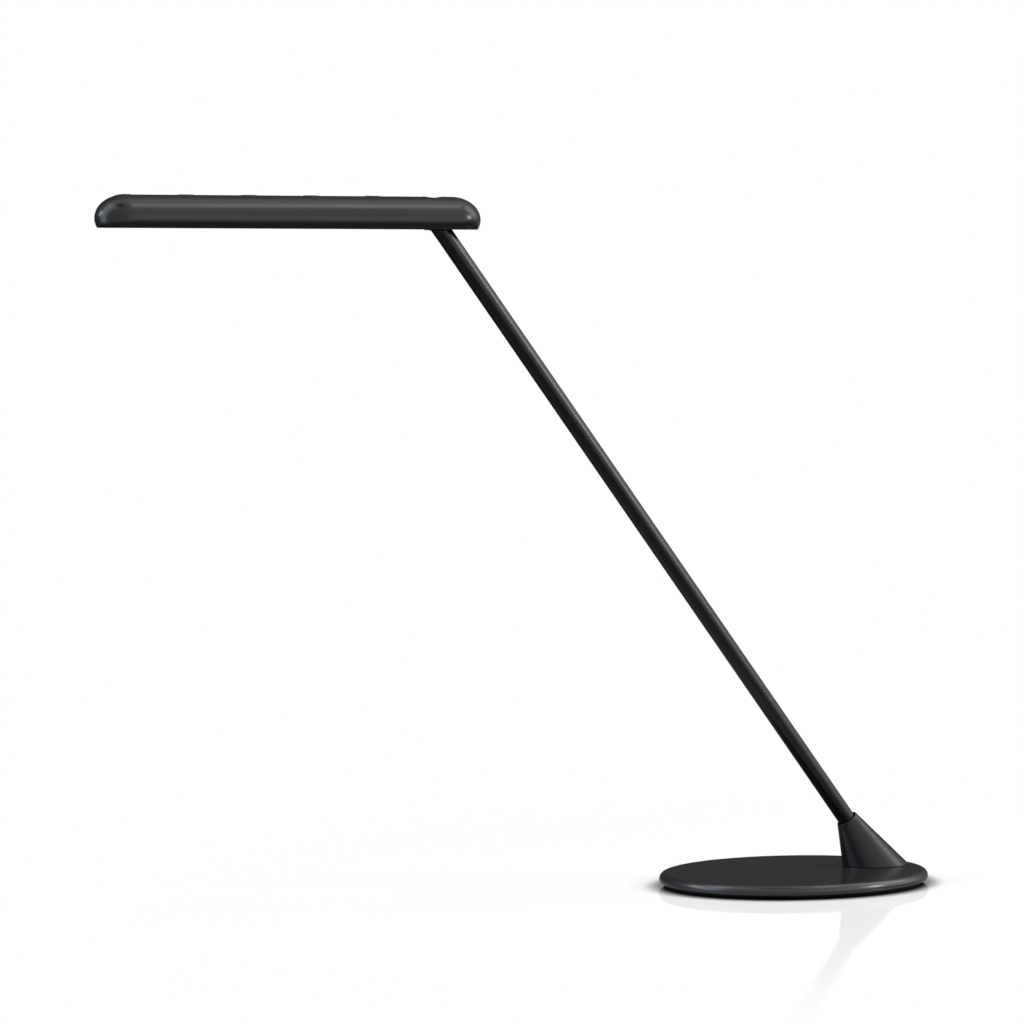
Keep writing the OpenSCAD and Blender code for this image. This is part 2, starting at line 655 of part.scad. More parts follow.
// The knuckle carries the tube's round on to the bolt, with flats beside its eye
module knuckle() color(satin_black) in_arm() translate([0, 0, arm_len]) difference() {
    union() {
        rotate([90, 0, 0]) cylinder(r = eye_r, h = 2 * eye_half, center = true, $fn = fine);
        translate([0, 0, -tube_drop]) intersection() {
            cylinder(r = arm_r, h = tube_drop, $fn = fine);
            translate([-arm_r, -eye_half, 0]) cube([2 * arm_r, 2 * eye_half, tube_drop]);
        }
        translate([0, 0, -tube_drop]) cylinder(r = arm_r, h = tube_drop - eye_r, $fn = fine);
        translate([0, 0, -tube_drop - spigot_len])
            cylinder(r = arm_bore_r - seat_fit, h = spigot_len + cut, $fn = fine);
    }
    rotate([90, 0, 0])
        cylinder(r = bolt_r + run_fit, h = 2 * eye_half + 2 * cut, center = true, $fn = round_fn);
    translate([-arm_r - cut, -arm_bolt_gap, -fork_depth])
        cube([2 * (arm_r + cut), 2 * arm_bolt_gap, fork_depth + eye_r + cut]);
    translate([0, 0, -tube_drop - spigot_len - cut])
        cylinder(r = spigot_bore_r, h = tube_drop + spigot_len + cut - fork_depth + 2.5, $fn = round_fn);
}

// ---- Turret pieces ----
module turret() color(satin_black) in_head() difference() {
    union() {
        translate([0, 0, under_z]) cylinder(r = turret_r, h = turret_top - under_z, $fn = fine);
        translate([0, 0, turret_z]) cylinder(r = collar_r, h = turret_top - turret_z, $fn = fine);
        translate([0, 0, flange_z]) cylinder(r = flange_r, h = turret_flange_t, $fn = fine);
    }
    intersection() {
        translate([-turret_r, -slot_half, turret_z - cut])
            cube([2 * turret_r, 2 * slot_half, turret_top - turret_z + 2 * cut]);
        translate([0, 0, turret_z - 2 * cut])
            cylinder(r = slot_r, h = turret_top - turret_z + 4 * cut, $fn = fine);
    }
    rotate([90, 0, 0]) cylinder(r = bolt_r + seat_fit, h = 2 * turret_r, center = true, $fn = round_fn);
    translate([0, -bolt_head_y, 0]) rotate([90, 0, 0])
        cylinder(r = bolt_head_r + 0.2, h = flange_r, $fn = round_fn);
    translate([0, bolt_head_y, 0]) rotate([-90, 0, 0])
        cylinder(r = nut_r + 0.1, h = flange_r, $fn = 6);
}

module tilt_bolt() color(zinc_grey) in_head() difference() {
    union() {
        translate([0, -bolt_head_y, 0]) rotate([-90, 0, 0])
            cylinder(r = bolt_r, h = 2 * bolt_head_y + nut_t + part_gap, $fn = round_fn);
        translate([0, -bolt_head_y, 0]) rotate([90, 0, 0])
            cylinder(r = bolt_head_r, h = bolt_head_t, $fn = round_fn);
    }
    translate([0, -bolt_head_y - bolt_head_t - cut, 0]) rotate([-90, 0, 0])
        cylinder(r = bolt_r * 0.8, h = cut + bolt_key, $fn = 6);
}

module tilt_nut() color(zinc_grey) in_head() translate([0, bolt_head_y, 0]) rotate([-90, 0, 0])
    difference() {
        cylinder(r = nut_r, h = nut_t, $fn = 6);
        translate([0, 0, -cut]) cylinder(r = bolt_r, h = nut_t + 2 * cut, $fn = round_fn);
    }

module tilt_washers() color(nylon_white) in_head()
    for (side = [-1, 1]) translate([0, side * (eye_half + slot_half + run_fit) / 2, 0])
        rotate([90, 0, 0]) difference() {
            cylinder(r = eye_r - loose_fit, h = tilt_washer_t, center = true, $fn = round_fn);
            cylinder(r = bolt_r, h = slot_half, center = true, $fn = round_fn);
        }

// ---- Head pieces ----
// Half section of the head, shrunk by inset on the crown
function crown_arc(inset, drop, a1) =
    let (a0 = -asin((belly_h + drop) / (crown_h - inset)))
        arc(0, crown_lift, head_half - inset, crown_h - inset, a0, a1, 2 * arc_n);
module head_solid(inset = 0, drop = 0) {
    half = crown_arc(inset, drop, 90);
    left = [for (i = [len(half) - 2:-1:0]) [-half[i][0], half[i][1]]];
    translate([core_x0, 0, 0]) rotate([90, 0, 90])
        linear_extrude(height = core_x1 - core_x0) polygon(concat(half, left));
    for (end = [[core_x0, 90], [core_x1, -90]])
        translate([end[0], 0, 0]) rotate([0, 0, end[1]])
            rotate_extrude(angle = 180, $fn = fine) polygon(concat([[0, under_z - drop]], half));
}

// Posts and wells hang from the roof and end inside its wall
module shell_posts() intersection() {
    union() {
        for (x = plug_x) translate([x, 0, sink_top]) cylinder(r = well_r, h = crown_h, $fn = round_fn);
        for (p = cover_screw_at)
            translate([p[0], p[1], p[0] == tail_x ? under_in_z : seat_top])
                cylinder(r = post_r, h = 2 * crown_h, $fn = round_fn);
        for (x = board_hole_x)
            translate([x, 0, switch_z]) cylinder(r = board_post_r, h = crown_h, $fn = round_fn);
    }
    head_solid(head_wall / 2);
}

module head_shell() color(satin_black) in_head() difference() {
    union() {
        difference() {
            head_solid();
            head_solid(head_wall, cut);
        }
        shell_posts();
    }
    for (x = plug_x) {
        translate([x, 0, plug_seat_z])
            cylinder(r = plug_r + seat_fit, h = crown_h, $fn = round_fn);
        translate([x, 0, sink_top + well_floor])
            cylinder(r = plug_stem_r + 0.1, h = crown_h, $fn = round_fn);
        translate([x, 0, sink_top - cut])
            cylinder(r = sink_screw_r + screw_gap, h = crown_h, $fn = round_fn);
    }
    for (p = cover_screw_at)
        translate([p[0], p[1], under_in_z - cut])
            cylinder(r = cover_screw_r + seat_fit, h = cover_pilot + cut, $fn = round_fn);
    for (x = board_hole_x)
        translate([x, 0, switch_z - cut])
            cylinder(r = board_screw_r + seat_fit, h = board_pilot + cut, $fn = round_fn);
    translate([-button_back, 0, button_z - 2]) cylinder(r = button_r + button_gap, h = crown_h, $fn = fine);
}

module screw_plugs() color(satin_black) in_head() for (x = plug_x) union() {
    intersection() {
        translate([x, 0, plug_seat_z]) cylinder(r = plug_r, h = crown_h, $fn = fine);
        translate([0, 0, plug_proud]) head_solid();
    }
    translate([x, 0, plug_seat_z - plug_stem_len])
        cylinder(r = plug_stem_r, h = plug_stem_len + plug_proud, $fn = round_fn);
}

module sink_screws() color(zinc_grey) in_head() for (x = plug_x)
    translate([x, 0, 0]) difference() {
        union() {
            translate([0, 0, sink_z + 0.2])
                cylinder(r = sink_screw_r, h = sink_t + well_floor, $fn = round_fn);
            translate([0, 0, sink_top + well_floor])
                cylinder(r = plug_stem_r - screw_gap, h = sink_head_t, $fn = round_fn);
        }
        translate([0, 0, sink_top + well_floor + sink_head_t / 2])
            cylinder(r = sink_key_r, h = sink_head_t / 2 + cut, $fn = 6);
    }

module heat_sink() color(steel_grey) in_head() difference() {
    union() {
        translate([sink_x0, -sink_half, sink_z]) cube([sink_x1 - sink_x0, 2 * sink_half, sink_t]);
        for (y = rib_y, side = [-1, 1])
            translate([rib_x0, side * y - rib_t / 2, sink_z + sink_t / 2])
                cube([sink_x1 - rib_x0, rib_t, sink_t / 2 + rib_h]);
    }
    for (x = plug_x) {
        translate([x, 0, sink_top]) cylinder(r = well_r + part_gap, h = rib_h + cut, $fn = round_fn);
        translate([x, 0, sink_z - cut])
            cylinder(r = sink_screw_r + seat_fit, h = sink_t + 2 * cut, $fn = round_fn);
    }
}

module led_board() color(board_white) in_head()
    translate([sink_x0, -sink_half + 1, board_low])
        cube([sink_x1 + board_end - sink_x0, 2 * sink_half - 2, led_board_t]);

module led_chips() color(chip_yellow) in_head() {
    room = window_x1 - window_x0 - 2 * window_half;
    count = floor(room / chip_pitch) + 1;
    first = (window_x0 + window_x1 - (count - 1) * chip_pitch) / 2;
    for (i = [0:count - 1])
        translate([first + i * chip_pitch - chip_len / 2, -chip_w / 2, board_low - chip_t])
            cube([chip_len, chip_w, chip_t]);
}

module diffuser() color(lens_white) in_head() {
    translate([0, 0, under_z])
        stadium(window_x0, window_x1, window_half - 0.1, under_t);
    translate([0, 0, under_in_z])
        stadium(window_x0 - frame_w, window_x1 + frame_w, window_half + frame_w, frame_t);
}

module under_cover() color(satin_black) in_head() difference() {
    translate([0, 0, under_z])
        stadium(core_x0 - under_half, core_x1 + under_half, under_half, under_t);
    translate([0, 0, under_z - cut]) cylinder(r = turret_bore_r, h = under_t + 2 * cut, $fn = fine);
    translate([0, 0, under_z - cut]) stadium(window_x0, window_x1, window_half, under_t + 2 * cut);
    for (p = cover_screw_at) translate([p[0], p[1], under_z]) {
        translate([0, 0, -cut])
            cylinder(r = cover_screw_r + screw_gap, h = under_t + 2 * cut, $fn = round_fn);
        translate([0, 0, -cut])
            cylinder(r = cover_head_r + 0.1, h = cut + cover_head_z + cover_head_t, $fn = round_fn);
    }
}

module cover_screws() color(zinc_grey) in_head() for (p = cover_screw_at)
    translate([p[0], p[1], under_z]) difference() {
        union() {
            translate([0, 0, cover_head_z]) cylinder(r = cover_head_r, h = cover_head_t, $fn = round_fn);
            translate([0, 0, cover_screw_z])
                cylinder(r = cover_screw_r, h = cover_screw_len, $fn = round_fn);
        }
        cross_recess(cover_head_r, cover_cross_w);
    }

module turret_seat() color(nylon_white) in_head() difference() {
    union() {
        translate([0, 0, seat_z]) cylinder(r = flange_r + 1, h = seat_t, $fn = fine);
        for (p = cover_screw_at) if (p[0] != tail_x) {
            translate([p[0], p[1], under_in_z])
                cylinder(r = seat_post_r, h = seat_top - under_in_z, $fn = round_fn);
            rotate([0, 0, atan2(p[1], p[0])])
                translate([turret_r + 1, -seat_arm_half, seat_z])
                    cube([norm(p) - turret_r - 1, 2 * seat_arm_half, seat_t]);
        }
    }
    translate([0, 0, seat_z - cut]) cylinder(r = turret_bore_r, h = seat_t + 2 * cut, $fn = fine);
    for (p = cover_screw_at) translate([p[0], p[1], under_in_z - cut])
        cylinder(r = cover_screw_r + 0.1, h = seat_top - under_in_z + 2 * cut, $fn = round_fn);
}

module swivel_ring() color(nylon_white) in_head()
    translate([0, 0, under_in_z]) ring(flange_r - loose_fit, turret_bore_r + seat_fit, ring_t);

module switch_board() color(board_green) in_head() difference() {
    translate([board_hole_x[0] - switch_board_end, -switch_board_half, switch_board_z])
        cube([switch_board_len, 2 * switch_board_half, switch_board_t]);
    for (x = board_hole_x) translate([x, 0, switch_board_z - cut])
        cylinder(r = board_screw_r + screw_gap, h = switch_board_t + 2 * cut, $fn = round_fn);
}

module board_screws() color(zinc_grey) in_head() for (x = board_hole_x)
    translate([x, 0, switch_board_z]) {
        translate([0, 0, -board_head_t]) cylinder(r = board_head_r, h = board_head_t, $fn = round_fn);
        translate([0, 0, -board_head_t / 2])
            cylinder(r = board_screw_r, h = board_head_t / 2 + switch_board_t + board_pilot - part_gap,
                $fn = round_fn);
    }

module tact_switch() color(rubber_black) in_head() translate([-button_back, 0, switch_z]) difference() {
    translate([-switch_half, -switch_half, 0]) cube([2 * switch_half, 2 * switch_half, switch_h]);
    translate([0, 0, switch_floor]) cylinder(r = plunger_r + 0.15, h = switch_h, $fn = round_fn);
}

module head_lead() color(rubber_black) in_head() lead([
    [0, 0, turret_top + 0.5], [-0.5, 0, turret_top + 1.2], [-3, 0, turret_top + 1.7],
    [-10, 0, turret_top + 1.7], [-15.5, 0, turret_top + 1.2], [-20.5, 0, sink_z + 2.6],
    [-25, 0, sink_z + lead_r + 0.3], [sink_x1 + 3, 0, sink_z + lead_r + 0.05]
], lead_r, [0, 1, 0]);

module switch_lead() color(rubber_black) in_head() lead([
    [-19, 6, switch_board_z - 0.1], [-19.3, 6, switch_board_z - 1.4], [-21.5, 6, sink_z + 4],
    [-25, 6, sink_z + 1.4], [sink_x1 + 3, 6, sink_z + 0.7]
], 0.6, [0, 1, 0]);

// ---- Button pieces ----
module power_button() color(satin_black) in_head() translate([-button_back, 0, 0]) difference() {
    union() {
        intersection() {
            translate([0, 0, button_z]) cylinder(r = button_r, h = crown_h, $fn = fine);
            translate([button_back, 0, button_top_lift]) head_solid();
        }
        translate([-button_r - hook_w, -hook_half, hook_z])
            cube([2 * (button_r + hook_w), 2 * hook_half, hook_t]);
    }
    translate([0, 0, button_z - cut]) ring(button_r - button_wall, button_core_r, cut + button_hollow);
    dish_ball = (dish_r * dish_r + dish_depth * dish_depth) / (2 * dish_depth);
    translate([0, 0, crest_z + button_top_lift - dish_depth + dish_ball]) sphere(r = dish_ball, $fn = fine);
}

module switch_plunger() color(nylon_white) in_head()
    translate([-button_back, 0, plunger_z0])
        cylinder(r = plunger_r, h = button_z - plunger_z0, $fn = round_fn);

base_cover();
base_weight();
bottom_plate();
foot_pad();
base_screws();
swivel_bush();
glide_ring();
friction_washer();
stop_pin();
insulator();
driver_board();
driver_parts();
dc_jack();
jack_pin();
inlet_lead();
base_lead();
boot();
spindle();
spindle_screws();
stop_ring();
lock_nut();
grub_screw();
arm_tube();
arm_lead();
knuckle();
turret();
tilt_bolt();
tilt_nut();
tilt_washers();
head_shell();
screw_plugs();
sink_screws();
heat_sink();
led_board();
led_chips();
diffuser();
under_cover();
cover_screws();
turret_seat();
swivel_ring();
switch_board();
board_screws();
tact_switch();
head_lead();
switch_lead();
power_button();
switch_plunger();
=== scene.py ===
"""Looks of the folding LED desk lamp: satin black head, tube arm, cone boot and round base."""

import json
import math

import bmesh
import bpy
from mathutils import Matrix, Vector


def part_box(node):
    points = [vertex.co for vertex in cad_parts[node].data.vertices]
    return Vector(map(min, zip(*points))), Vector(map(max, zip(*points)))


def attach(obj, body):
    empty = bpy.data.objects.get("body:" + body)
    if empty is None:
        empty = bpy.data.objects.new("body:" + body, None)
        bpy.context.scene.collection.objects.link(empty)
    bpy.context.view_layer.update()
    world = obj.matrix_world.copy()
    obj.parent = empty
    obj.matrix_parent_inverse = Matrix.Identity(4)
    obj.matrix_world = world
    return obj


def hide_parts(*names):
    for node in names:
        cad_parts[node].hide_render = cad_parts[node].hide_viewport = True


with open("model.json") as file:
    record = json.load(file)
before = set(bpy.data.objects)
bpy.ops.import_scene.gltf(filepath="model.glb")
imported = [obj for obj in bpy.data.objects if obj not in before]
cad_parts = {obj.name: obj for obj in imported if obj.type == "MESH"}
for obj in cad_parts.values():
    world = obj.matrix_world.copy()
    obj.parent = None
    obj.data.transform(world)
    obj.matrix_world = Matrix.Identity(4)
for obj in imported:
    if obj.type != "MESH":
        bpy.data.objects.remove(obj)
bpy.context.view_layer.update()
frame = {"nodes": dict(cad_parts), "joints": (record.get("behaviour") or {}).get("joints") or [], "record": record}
joints = {joint["name"]: joint for joint in frame["joints"]}

# ---- Fineness of the meshes ----
MM = 0.001                                   # a millimetre in metres; sizes below are in millimetres
ROUND = 192                                  # sides of the boot and the base
SMALL_ROUND = 96                             # sides of the tube, the button, the plugs and their seats
HOLE_ROUND = 48                              # sides of the small holes
CUTTER_START = 0.37                          # turns a cutter so that its corners miss the mesh's own edges
WELD = 0.002                                 # points nearer than this become one
CUT_WELD = 0.001                             # the same, after a cut

# ---- Base ----
base_low, base_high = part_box("base_cover")
BASE_R = round((base_high.x - base_low.x) / 2 / MM, 1)
BASE_TOP = base_high.z / MM
EDGE_Z = 5.3                                 # height of the widest line
EDGE_IN = 4.5                                # how far the rounded edge reaches in
EDGE_LOW = 3.4                               # how far a full lower half of it would reach down
FLAT_R = BASE_R - EDGE_IN
FLAT_SLACK = 0.001                           # points this near the flat top's end still count as on it
TOP_SLACK = 0.01                             # and points this far under it
RIM_Z = 2.5
RIM_IN_R = BASE_R - 3
COVER_IN_Z = BASE_TOP - 1.6
COVER_IN_ROUND = 3                           # rounded corner on the inside
SEAM_R = 10.05                               # hole in the cover for the swivel bush
SEAM_EDGE = 0.1                              # broken edge of that hole
TOP_ROWS = 9                                 # rows of faces over the flat top
INLET_R = 2.55
INLET_Z = 5.4
INLET_ENDS = (RIM_IN_R - 4, BASE_R + 2)      # the cut for the inlet, from inside the cover to outside it

# ---- Arm and boot ----
ARM_LEAN = math.radians(35.44)
ARM_FOOT_X = 70.25                           # where the arm's axis meets the base's top
ARM_R = round(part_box("arm_tube")[1].y / MM, 2)
ARM_BORE_R = ARM_R - 1.2
ARM_EDGE = 0.1                               # broken edge at the tube's ends
PIVOT = Vector(joints["head_tilt"]["pos_m"]) / MM
TUBE_START = 12                              # along the arm, from the base's top
TUBE_SHORT = 8.5                             # the tube ends this far before the tilt bolt
TUBE_END = (PIVOT.z - BASE_TOP) / math.cos(ARM_LEAN) - TUBE_SHORT

BOOT_X = joints["base_swivel"]["pos_m"][0] / MM
BOOT_LEN = 44                                # from the base's top to the mouth, along the arm
BOOT_ROWS = 24                               # rows of faces up the cone
BOOT_BORE_R = ARM_R + 0.05
BOOT_BORE_START = TUBE_START + 4
FOOT_R = 24.3                                # circle that the cone runs down to
FOOT_Z = BASE_TOP + 0.3
FOOT_UP = 0.8                                # height of that circle above the foot
FOOT_EDGE = 0.1                              # the cone runs on down to this above the foot
FOOT_WIDTH = 8.2                             # width of the ring under the foot
MOUTH_R = 8.3
MOUTH_IN_R = ARM_R + 0.65
MOUTH_DEPTH = 4
LIP = (MOUTH_R - MOUTH_IN_R) / 2
GRUB_HOLE_R = 2.05
GRUB_HOLE_UP = 30                            # its place along the arm
GRUB_HOLE_ENDS = (5, 26)                     # the cut for it, from the tube's axis outwards

# ---- Head ----
HEAD_TURN = Vector(joints["head_swivel"]["axis"])
HEAD_PITCH = math.atan2(HEAD_TURN.x, HEAD_TURN.z)
HEAD_HALF = 21.4
CROWN = 16.7                                 # crest above the widest line
BELLY = 6.95                                 # underside below the widest line
LIFT = 2.5                                   # widest line above the tilt bolt
CREST_Z = LIFT + CROWN
CORE_BACK = 11.0                             # centre of the round end near the arm
CORE_TIP = -238.2                            # centre of the round tip
WALL = 1.8
SHELL_EDGE = 0.08                            # broken edge of the shell's rim
CUT_TOP = 30                                 # cutters end here, well above the crest
BUTTON_X = -3
BUTTON_R = 8.7
BUTTON_Z = 15.0                              # height of the button's flat underside
BUTTON_PROUD = 0.1
BUTTON_EDGE = 0.5
BUTTON_GAP = 0.5
BUTTON_WELL_Z = BUTTON_Z - 3
DISH_R = 7.3
DISH_DEPTH = 1.15
DISH_EASE = 1.3                              # more than 1 lets the dish meet its rim softly
PLUG_R = 5.5
PLUG_PROUD = 0.3
PLUG_EDGE = 0.3
PLUG_GAP = 0.05
PLUG_SEAT_Z = CREST_Z - 1.1
PLUG_STEP = 47.3
PLUG_X = [BUTTON_X - PLUG_STEP * k for k in range(1, 6)]

ARM_PLACE = Matrix.Translation((ARM_FOOT_X, 0, BASE_TOP)) @ Matrix.Rotation(-ARM_LEAN, 4, "Y")
HEAD_PLACE = Matrix.Translation(PIVOT) @ Matrix.Rotation(HEAD_PITCH, 4, "Y")

# ---- View ----
EYE = Vector((-1.8945, -3.9271, 0.5284))     # metres
EYE_YAW = math.radians(23.0715)
EYE_PITCH = math.radians(3.2479)
EYE_ROLL = math.radians(-1.1357)
EYE_LENS = 206.79
EYE_FILM = 36                                # width of its film
EYE_REACH = 100                              # metres

# ---- Floor, in metres; each pair gives the two ends of a fade ----
FLOOR_R = 1.6
FLOOR_GLOW = 0.47                            # light of its own near the base, faded out in the painted contact shadow
FLOOR_LOW = (0.79, 0.78, 0.73, 1.0)          # its slow change of shade
FLOOR_HIGH = (0.81, 0.80, 0.75, 1.0)
CARD_FADE = (0.12, 0.62)                     # lit card to plain white, out from the base's middle
PAINTED_SHADOW_IN = 0.004                           # painted contact shadow: the dark ring painted into the floor starts this far under the base
PAINTED_SHADOW_OUT = 0.015                              # and ends this far outside it
PAINTED_SHADOW_THIN = 0.85                          # satin surfaces see this share less of the painted shadow ring
MIRROR = 0.185                               # strength of the mirror close to the base
MIRROR_FADE = (0.18, 0.80)
MIRROR_GRAZE = 1.32                          # it fades when it is looked into from above
SATIN_FADE = (0.13, 0.28)                    # what satin surfaces see of the floor, near to far; a painted dark reflection of the floor
SATIN_LEFT = (-0.02, 0.10)
SATIN_FRONT = (-0.08, 0.02)
SATIN_BACK = (-0.05, 0.40)
SATIN_SIDE_SHARE = 0.12                      # what remains of the near floor at the right and at the back
SATIN_FAR_SHARES = (0.38, 0.06)              # what they see of the far floor, front to back

# ---- Room that satin surfaces see; places in it are parts of a direction, from -1 to 1 ----
ROOM = [(-1, 2.0), (-0.15, 2.0), (0.0, 1.9), (0.12, 1.5), (0.22, 1.0), (0.32, 0.55), (0.5, 0.25), (0.8, 0.06)]
ROOM_TOP = 2.2                               # the levels above are shares of this in the ramp
ROOM_LEAN = 0.3                              # the dim back wall starts further back higher up
ROOM_TURN = (-0.6, 0.0)                      # and further forward at the left
ROOM_TURN_BY = -0.3
ROOM_SLOPE = 0.36                            # the front is brighter to the right
ROOM_SLOPE_FADE = (-0.2, 0.3)
ROOM_BELOW = 0.42                            # level under the horizon
ROOM_FILL = 0.12                             # light on matt surfaces
ROOM_TINT = [(-0.15, (1.0, 1.01, 0.91, 1)), (0.08, (0.97, 0.97, 1.06, 1)), (0.3, (0.97, 0.97, 1.06, 1)),
             (0.55, (1.01, 1.0, 0.93, 1)), (0.85, (1.01, 1.0, 0.95, 1)), (0.95, (0.96, 0.98, 1.07, 1))]
HORIZON_TURN = (0.1, 0.8)                    # the horizon climbs from left to right
HORIZON = (-0.38, -0.03)
HORIZON_SOFT = 0.08
CEILING_SPOT = (-0.219, -0.102, 0.970)       # direction of a dark patch overhead
CEILING_FADE = (0.974, 0.990)
CEILING_SHARE = 0.15

# ---- Lights: name, azimuth and height in degrees, size in metres, radiance and colour ----
LIGHTS = [
    ("overhead_panel", 67, 66, (1.3, 0.6), 3.5, (1.0, 0.98, 0.95)),
    ("right_panel", 83, 31, (1.25, 2.0), 2.6, (1.12, 0.96, 0.93)),
    ("right_lamp", 56, 12, (0.65, 0.7), 22.0, (1.0, 0.99, 0.98)),
    ("left_panel", -108, 20, (1.45, 4.4), 2.6, (0.76, 0.97, 1.25)),
    ("left_lamp", -128, 17, (0.55, 0.75), 9.0, (1.0, 1.0, 1.02)),
    ("upper_left_panel", -100, 58, (2.7, 0.9), 1.2, (0.86, 1.0, 1.14)),
    ("front_fill", 20, 7, (2.6, 1.0), 0.6, (1.0, 1.0, 0.97)),
]
LIGHT_DISTANCE = 3.0
LIGHT_AIM = Vector((-0.4, 0, 0.5))           # the head's middle


# ---- Shader wiring ----
class Wire:
    """A shader socket that takes part in sums; each operator adds one Math node."""

    def __init__(self, finish, socket):
        self.finish = finish
        self.socket = socket

    def maths(self, operation, first, second):
        return self.finish.node("ShaderNodeMath", {"operation": operation}, {0: first, 1: second})

    def either(self, other):
        """The larger of two shares."""
        return self.maths("MAXIMUM", self, other)

    def __add__(self, other):
        return self.maths("ADD", self, other)

    def __sub__(self, other):
        return self.maths("SUBTRACT", self, other)

    def __rsub__(self, other):
        return self.maths("SUBTRACT", other, self)

    def __mul__(self, other):
        return self.maths("MULTIPLY", self, other)

    __radd__ = __add__
    __rmul__ = __mul__


class Finish:
    """One procedural material or room: node() makes its nodes, surface() or out() ends it."""

    def __init__(self, name, tree=None):
        if tree is None:
            self.material = bpy.data.materials.new(name)
            self.material.use_nodes = True
            tree = self.material.node_tree
        self.tree = tree
        self.tree.nodes.clear()
        self.place = self.node("ShaderNodeTexCoord", out="Object")

    def node(self, kind, settings=None, values=None, out=0):
        """A node with its settings, then the values or links of its sockets."""
        made = self.tree.nodes.new(kind)
        for name, value in (settings or {}).items():
            if name == "stops":
                set_stops(made.color_ramp, value)
            else:
                setattr(made, name, value)
        for key, value in (values or {}).items():
            if isinstance(value, Wire):
                self.tree.links.new(value.socket, made.inputs[key])
            else:
                made.inputs[key].default_value = value
        return Wire(self, made.outputs[out])

    def noise(self, size, detail=2.0, rough=0.5):
        """Noise whose lumps are about this many millimetres across."""
        values = {"Vector": self.place, "Scale": 1 / (size * MM), "Detail": detail, "Roughness": rough}
        return self.node("ShaderNodeTexNoise", values=values)

    def blend(self, share, first, second):
        """A colour between two."""
        settings = {"data_type": "RGBA", "clamp_factor": True}
        return self.node("ShaderNodeMix", settings, {0: share, 6: first, 7: second}, out=2)

    def fade(self, value, ends, low=0.0, high=1.0, soft=True):
        """A number that goes from low to high while the value goes from one end to the other."""
        settings = {"interpolation_type": "SMOOTHSTEP" if soft else "LINEAR"}
        values = {"Value": value, "From Min": ends[0], "From Max": ends[1], "To Min": low, "To Max": high}
        return self.node("ShaderNodeMapRange", settings, values)

    def axes(self, vector):
        """The three parts of a vector."""
        parts = self.node("ShaderNodeSeparateXYZ", values={0: vector}).socket.node
        return [Wire(self, parts.outputs[axis]) for axis in "XYZ"]

    def bump(self, height, depth, strength=1.0, under=None):
        """Bump of this depth in millimetres, on top of the bump under it."""
        values = {"Height": height, "Distance": depth * MM, "Strength": strength}
        if under is not None:
            values["Normal"] = under
        return self.node("ShaderNodeBump", values=values)

    def rays(self):
        """What kind of ray has met the surface, by name."""
        path = self.tree.nodes.new("ShaderNodeLightPath")
        return {out.name: Wire(self, out) for out in path.outputs}

    def glow(self, strength):
        """Light of its own that is seen but doesn't light the object."""
        ray = self.rays()
        seen = ray["Is Camera Ray"] + ray["Is Transmission Ray"] + ray["Is Glossy Ray"]
        return self.node("ShaderNodeEmission", values={"Color": (1, 1, 1, 1), "Strength": seen * strength})

    def mix(self, share, first, second):
        """The first surface with this share of the second."""
        return self.node("ShaderNodeMixShader", values={0: share, 1: first, 2: second})

    def surface(self, **values):
        """Ends the material with one plain shader, whose sockets are named in small letters."""
        named = {key.replace("_", " ").title().replace("Ior", "IOR"): v for key, v in values.items()}
        self.out(self.node("ShaderNodeBsdfPrincipled", values=named))
        return self.material

    def out(self, shader, kind="ShaderNodeOutputMaterial"):
        """Ends the tree with this surface."""
        end = self.tree.nodes.new(kind)
        self.tree.links.new(shader.socket, end.inputs["Surface"])


def set_stops(ramp, stops):
    """Colour stops of a ramp, each a position and a colour."""
    while len(ramp.elements) < len(stops):
        ramp.elements.new(1.0)
    for element, (position, colour) in zip(ramp.elements, stops):
        element.position = position
        element.color = colour


def direction_stops(stops):
    """Stops given over -1 to 1, for a ramp that runs over 0 to 1."""
    return [(part / 2 + 0.5, colour) for part, colour in stops]


def grey(level, blue=0.0):
    """A near-neutral colour with a little more blue."""
    return (level, level, level + blue, 1.0)


def shaded(colour, factor, lift=0.0):
    """A colour made darker or lighter."""
    return tuple(min(1.0, c * factor + lift) for c in colour) + (1.0,)


# ---- Finishes ----
def satin_paint(name, level, matt, sheen):
    """Sprayed satin black: slow change of gloss, faint orange peel and fine dust in the lacquer."""
    f = Finish(name)
    cloud = f.noise(38, detail=3.0)
    peel = f.noise(1.6)
    dust = f.noise(0.22, detail=1.0)
    low = grey(level * 0.82, level * 0.03)
    high = grey(level * 1.2, level * 0.07)
    colour = f.blend(cloud * 0.7 + dust * 0.3, low, high)
    rough = (cloud - 0.5) * 0.10 + (dust - 0.5) * 0.05 + matt
    relief = f.bump(peel, 0.002, 0.5)
    relief = f.bump(dust, 0.0008, 0.4, under=relief)
    return f.surface(base_color=colour, roughness=rough, normal=relief, specular_ior_level=sheen)


def powder_coat(name, level, matt, sheen):
    """Baked powder coat: fine even grain that breaks up the highlights."""
    f = Finish(name)
    cloud = f.noise(60)
    grain = f.noise(0.55, rough=0.6)
    fleck = f.noise(0.18, detail=1.0)
    colour = f.blend(grain * 0.6 + fleck * 0.4, grey(level * 0.8), grey(level * 1.25, level * 0.05))
    rough = (cloud - 0.5) * 0.08 + (fleck - 0.5) * 0.10 + matt
    relief = f.bump(grain, 0.006, 0.6)
    relief = f.bump(fleck, 0.002, 0.5, under=relief)
    return f.surface(base_color=colour, roughness=rough, normal=relief, specular_ior_level=sheen)


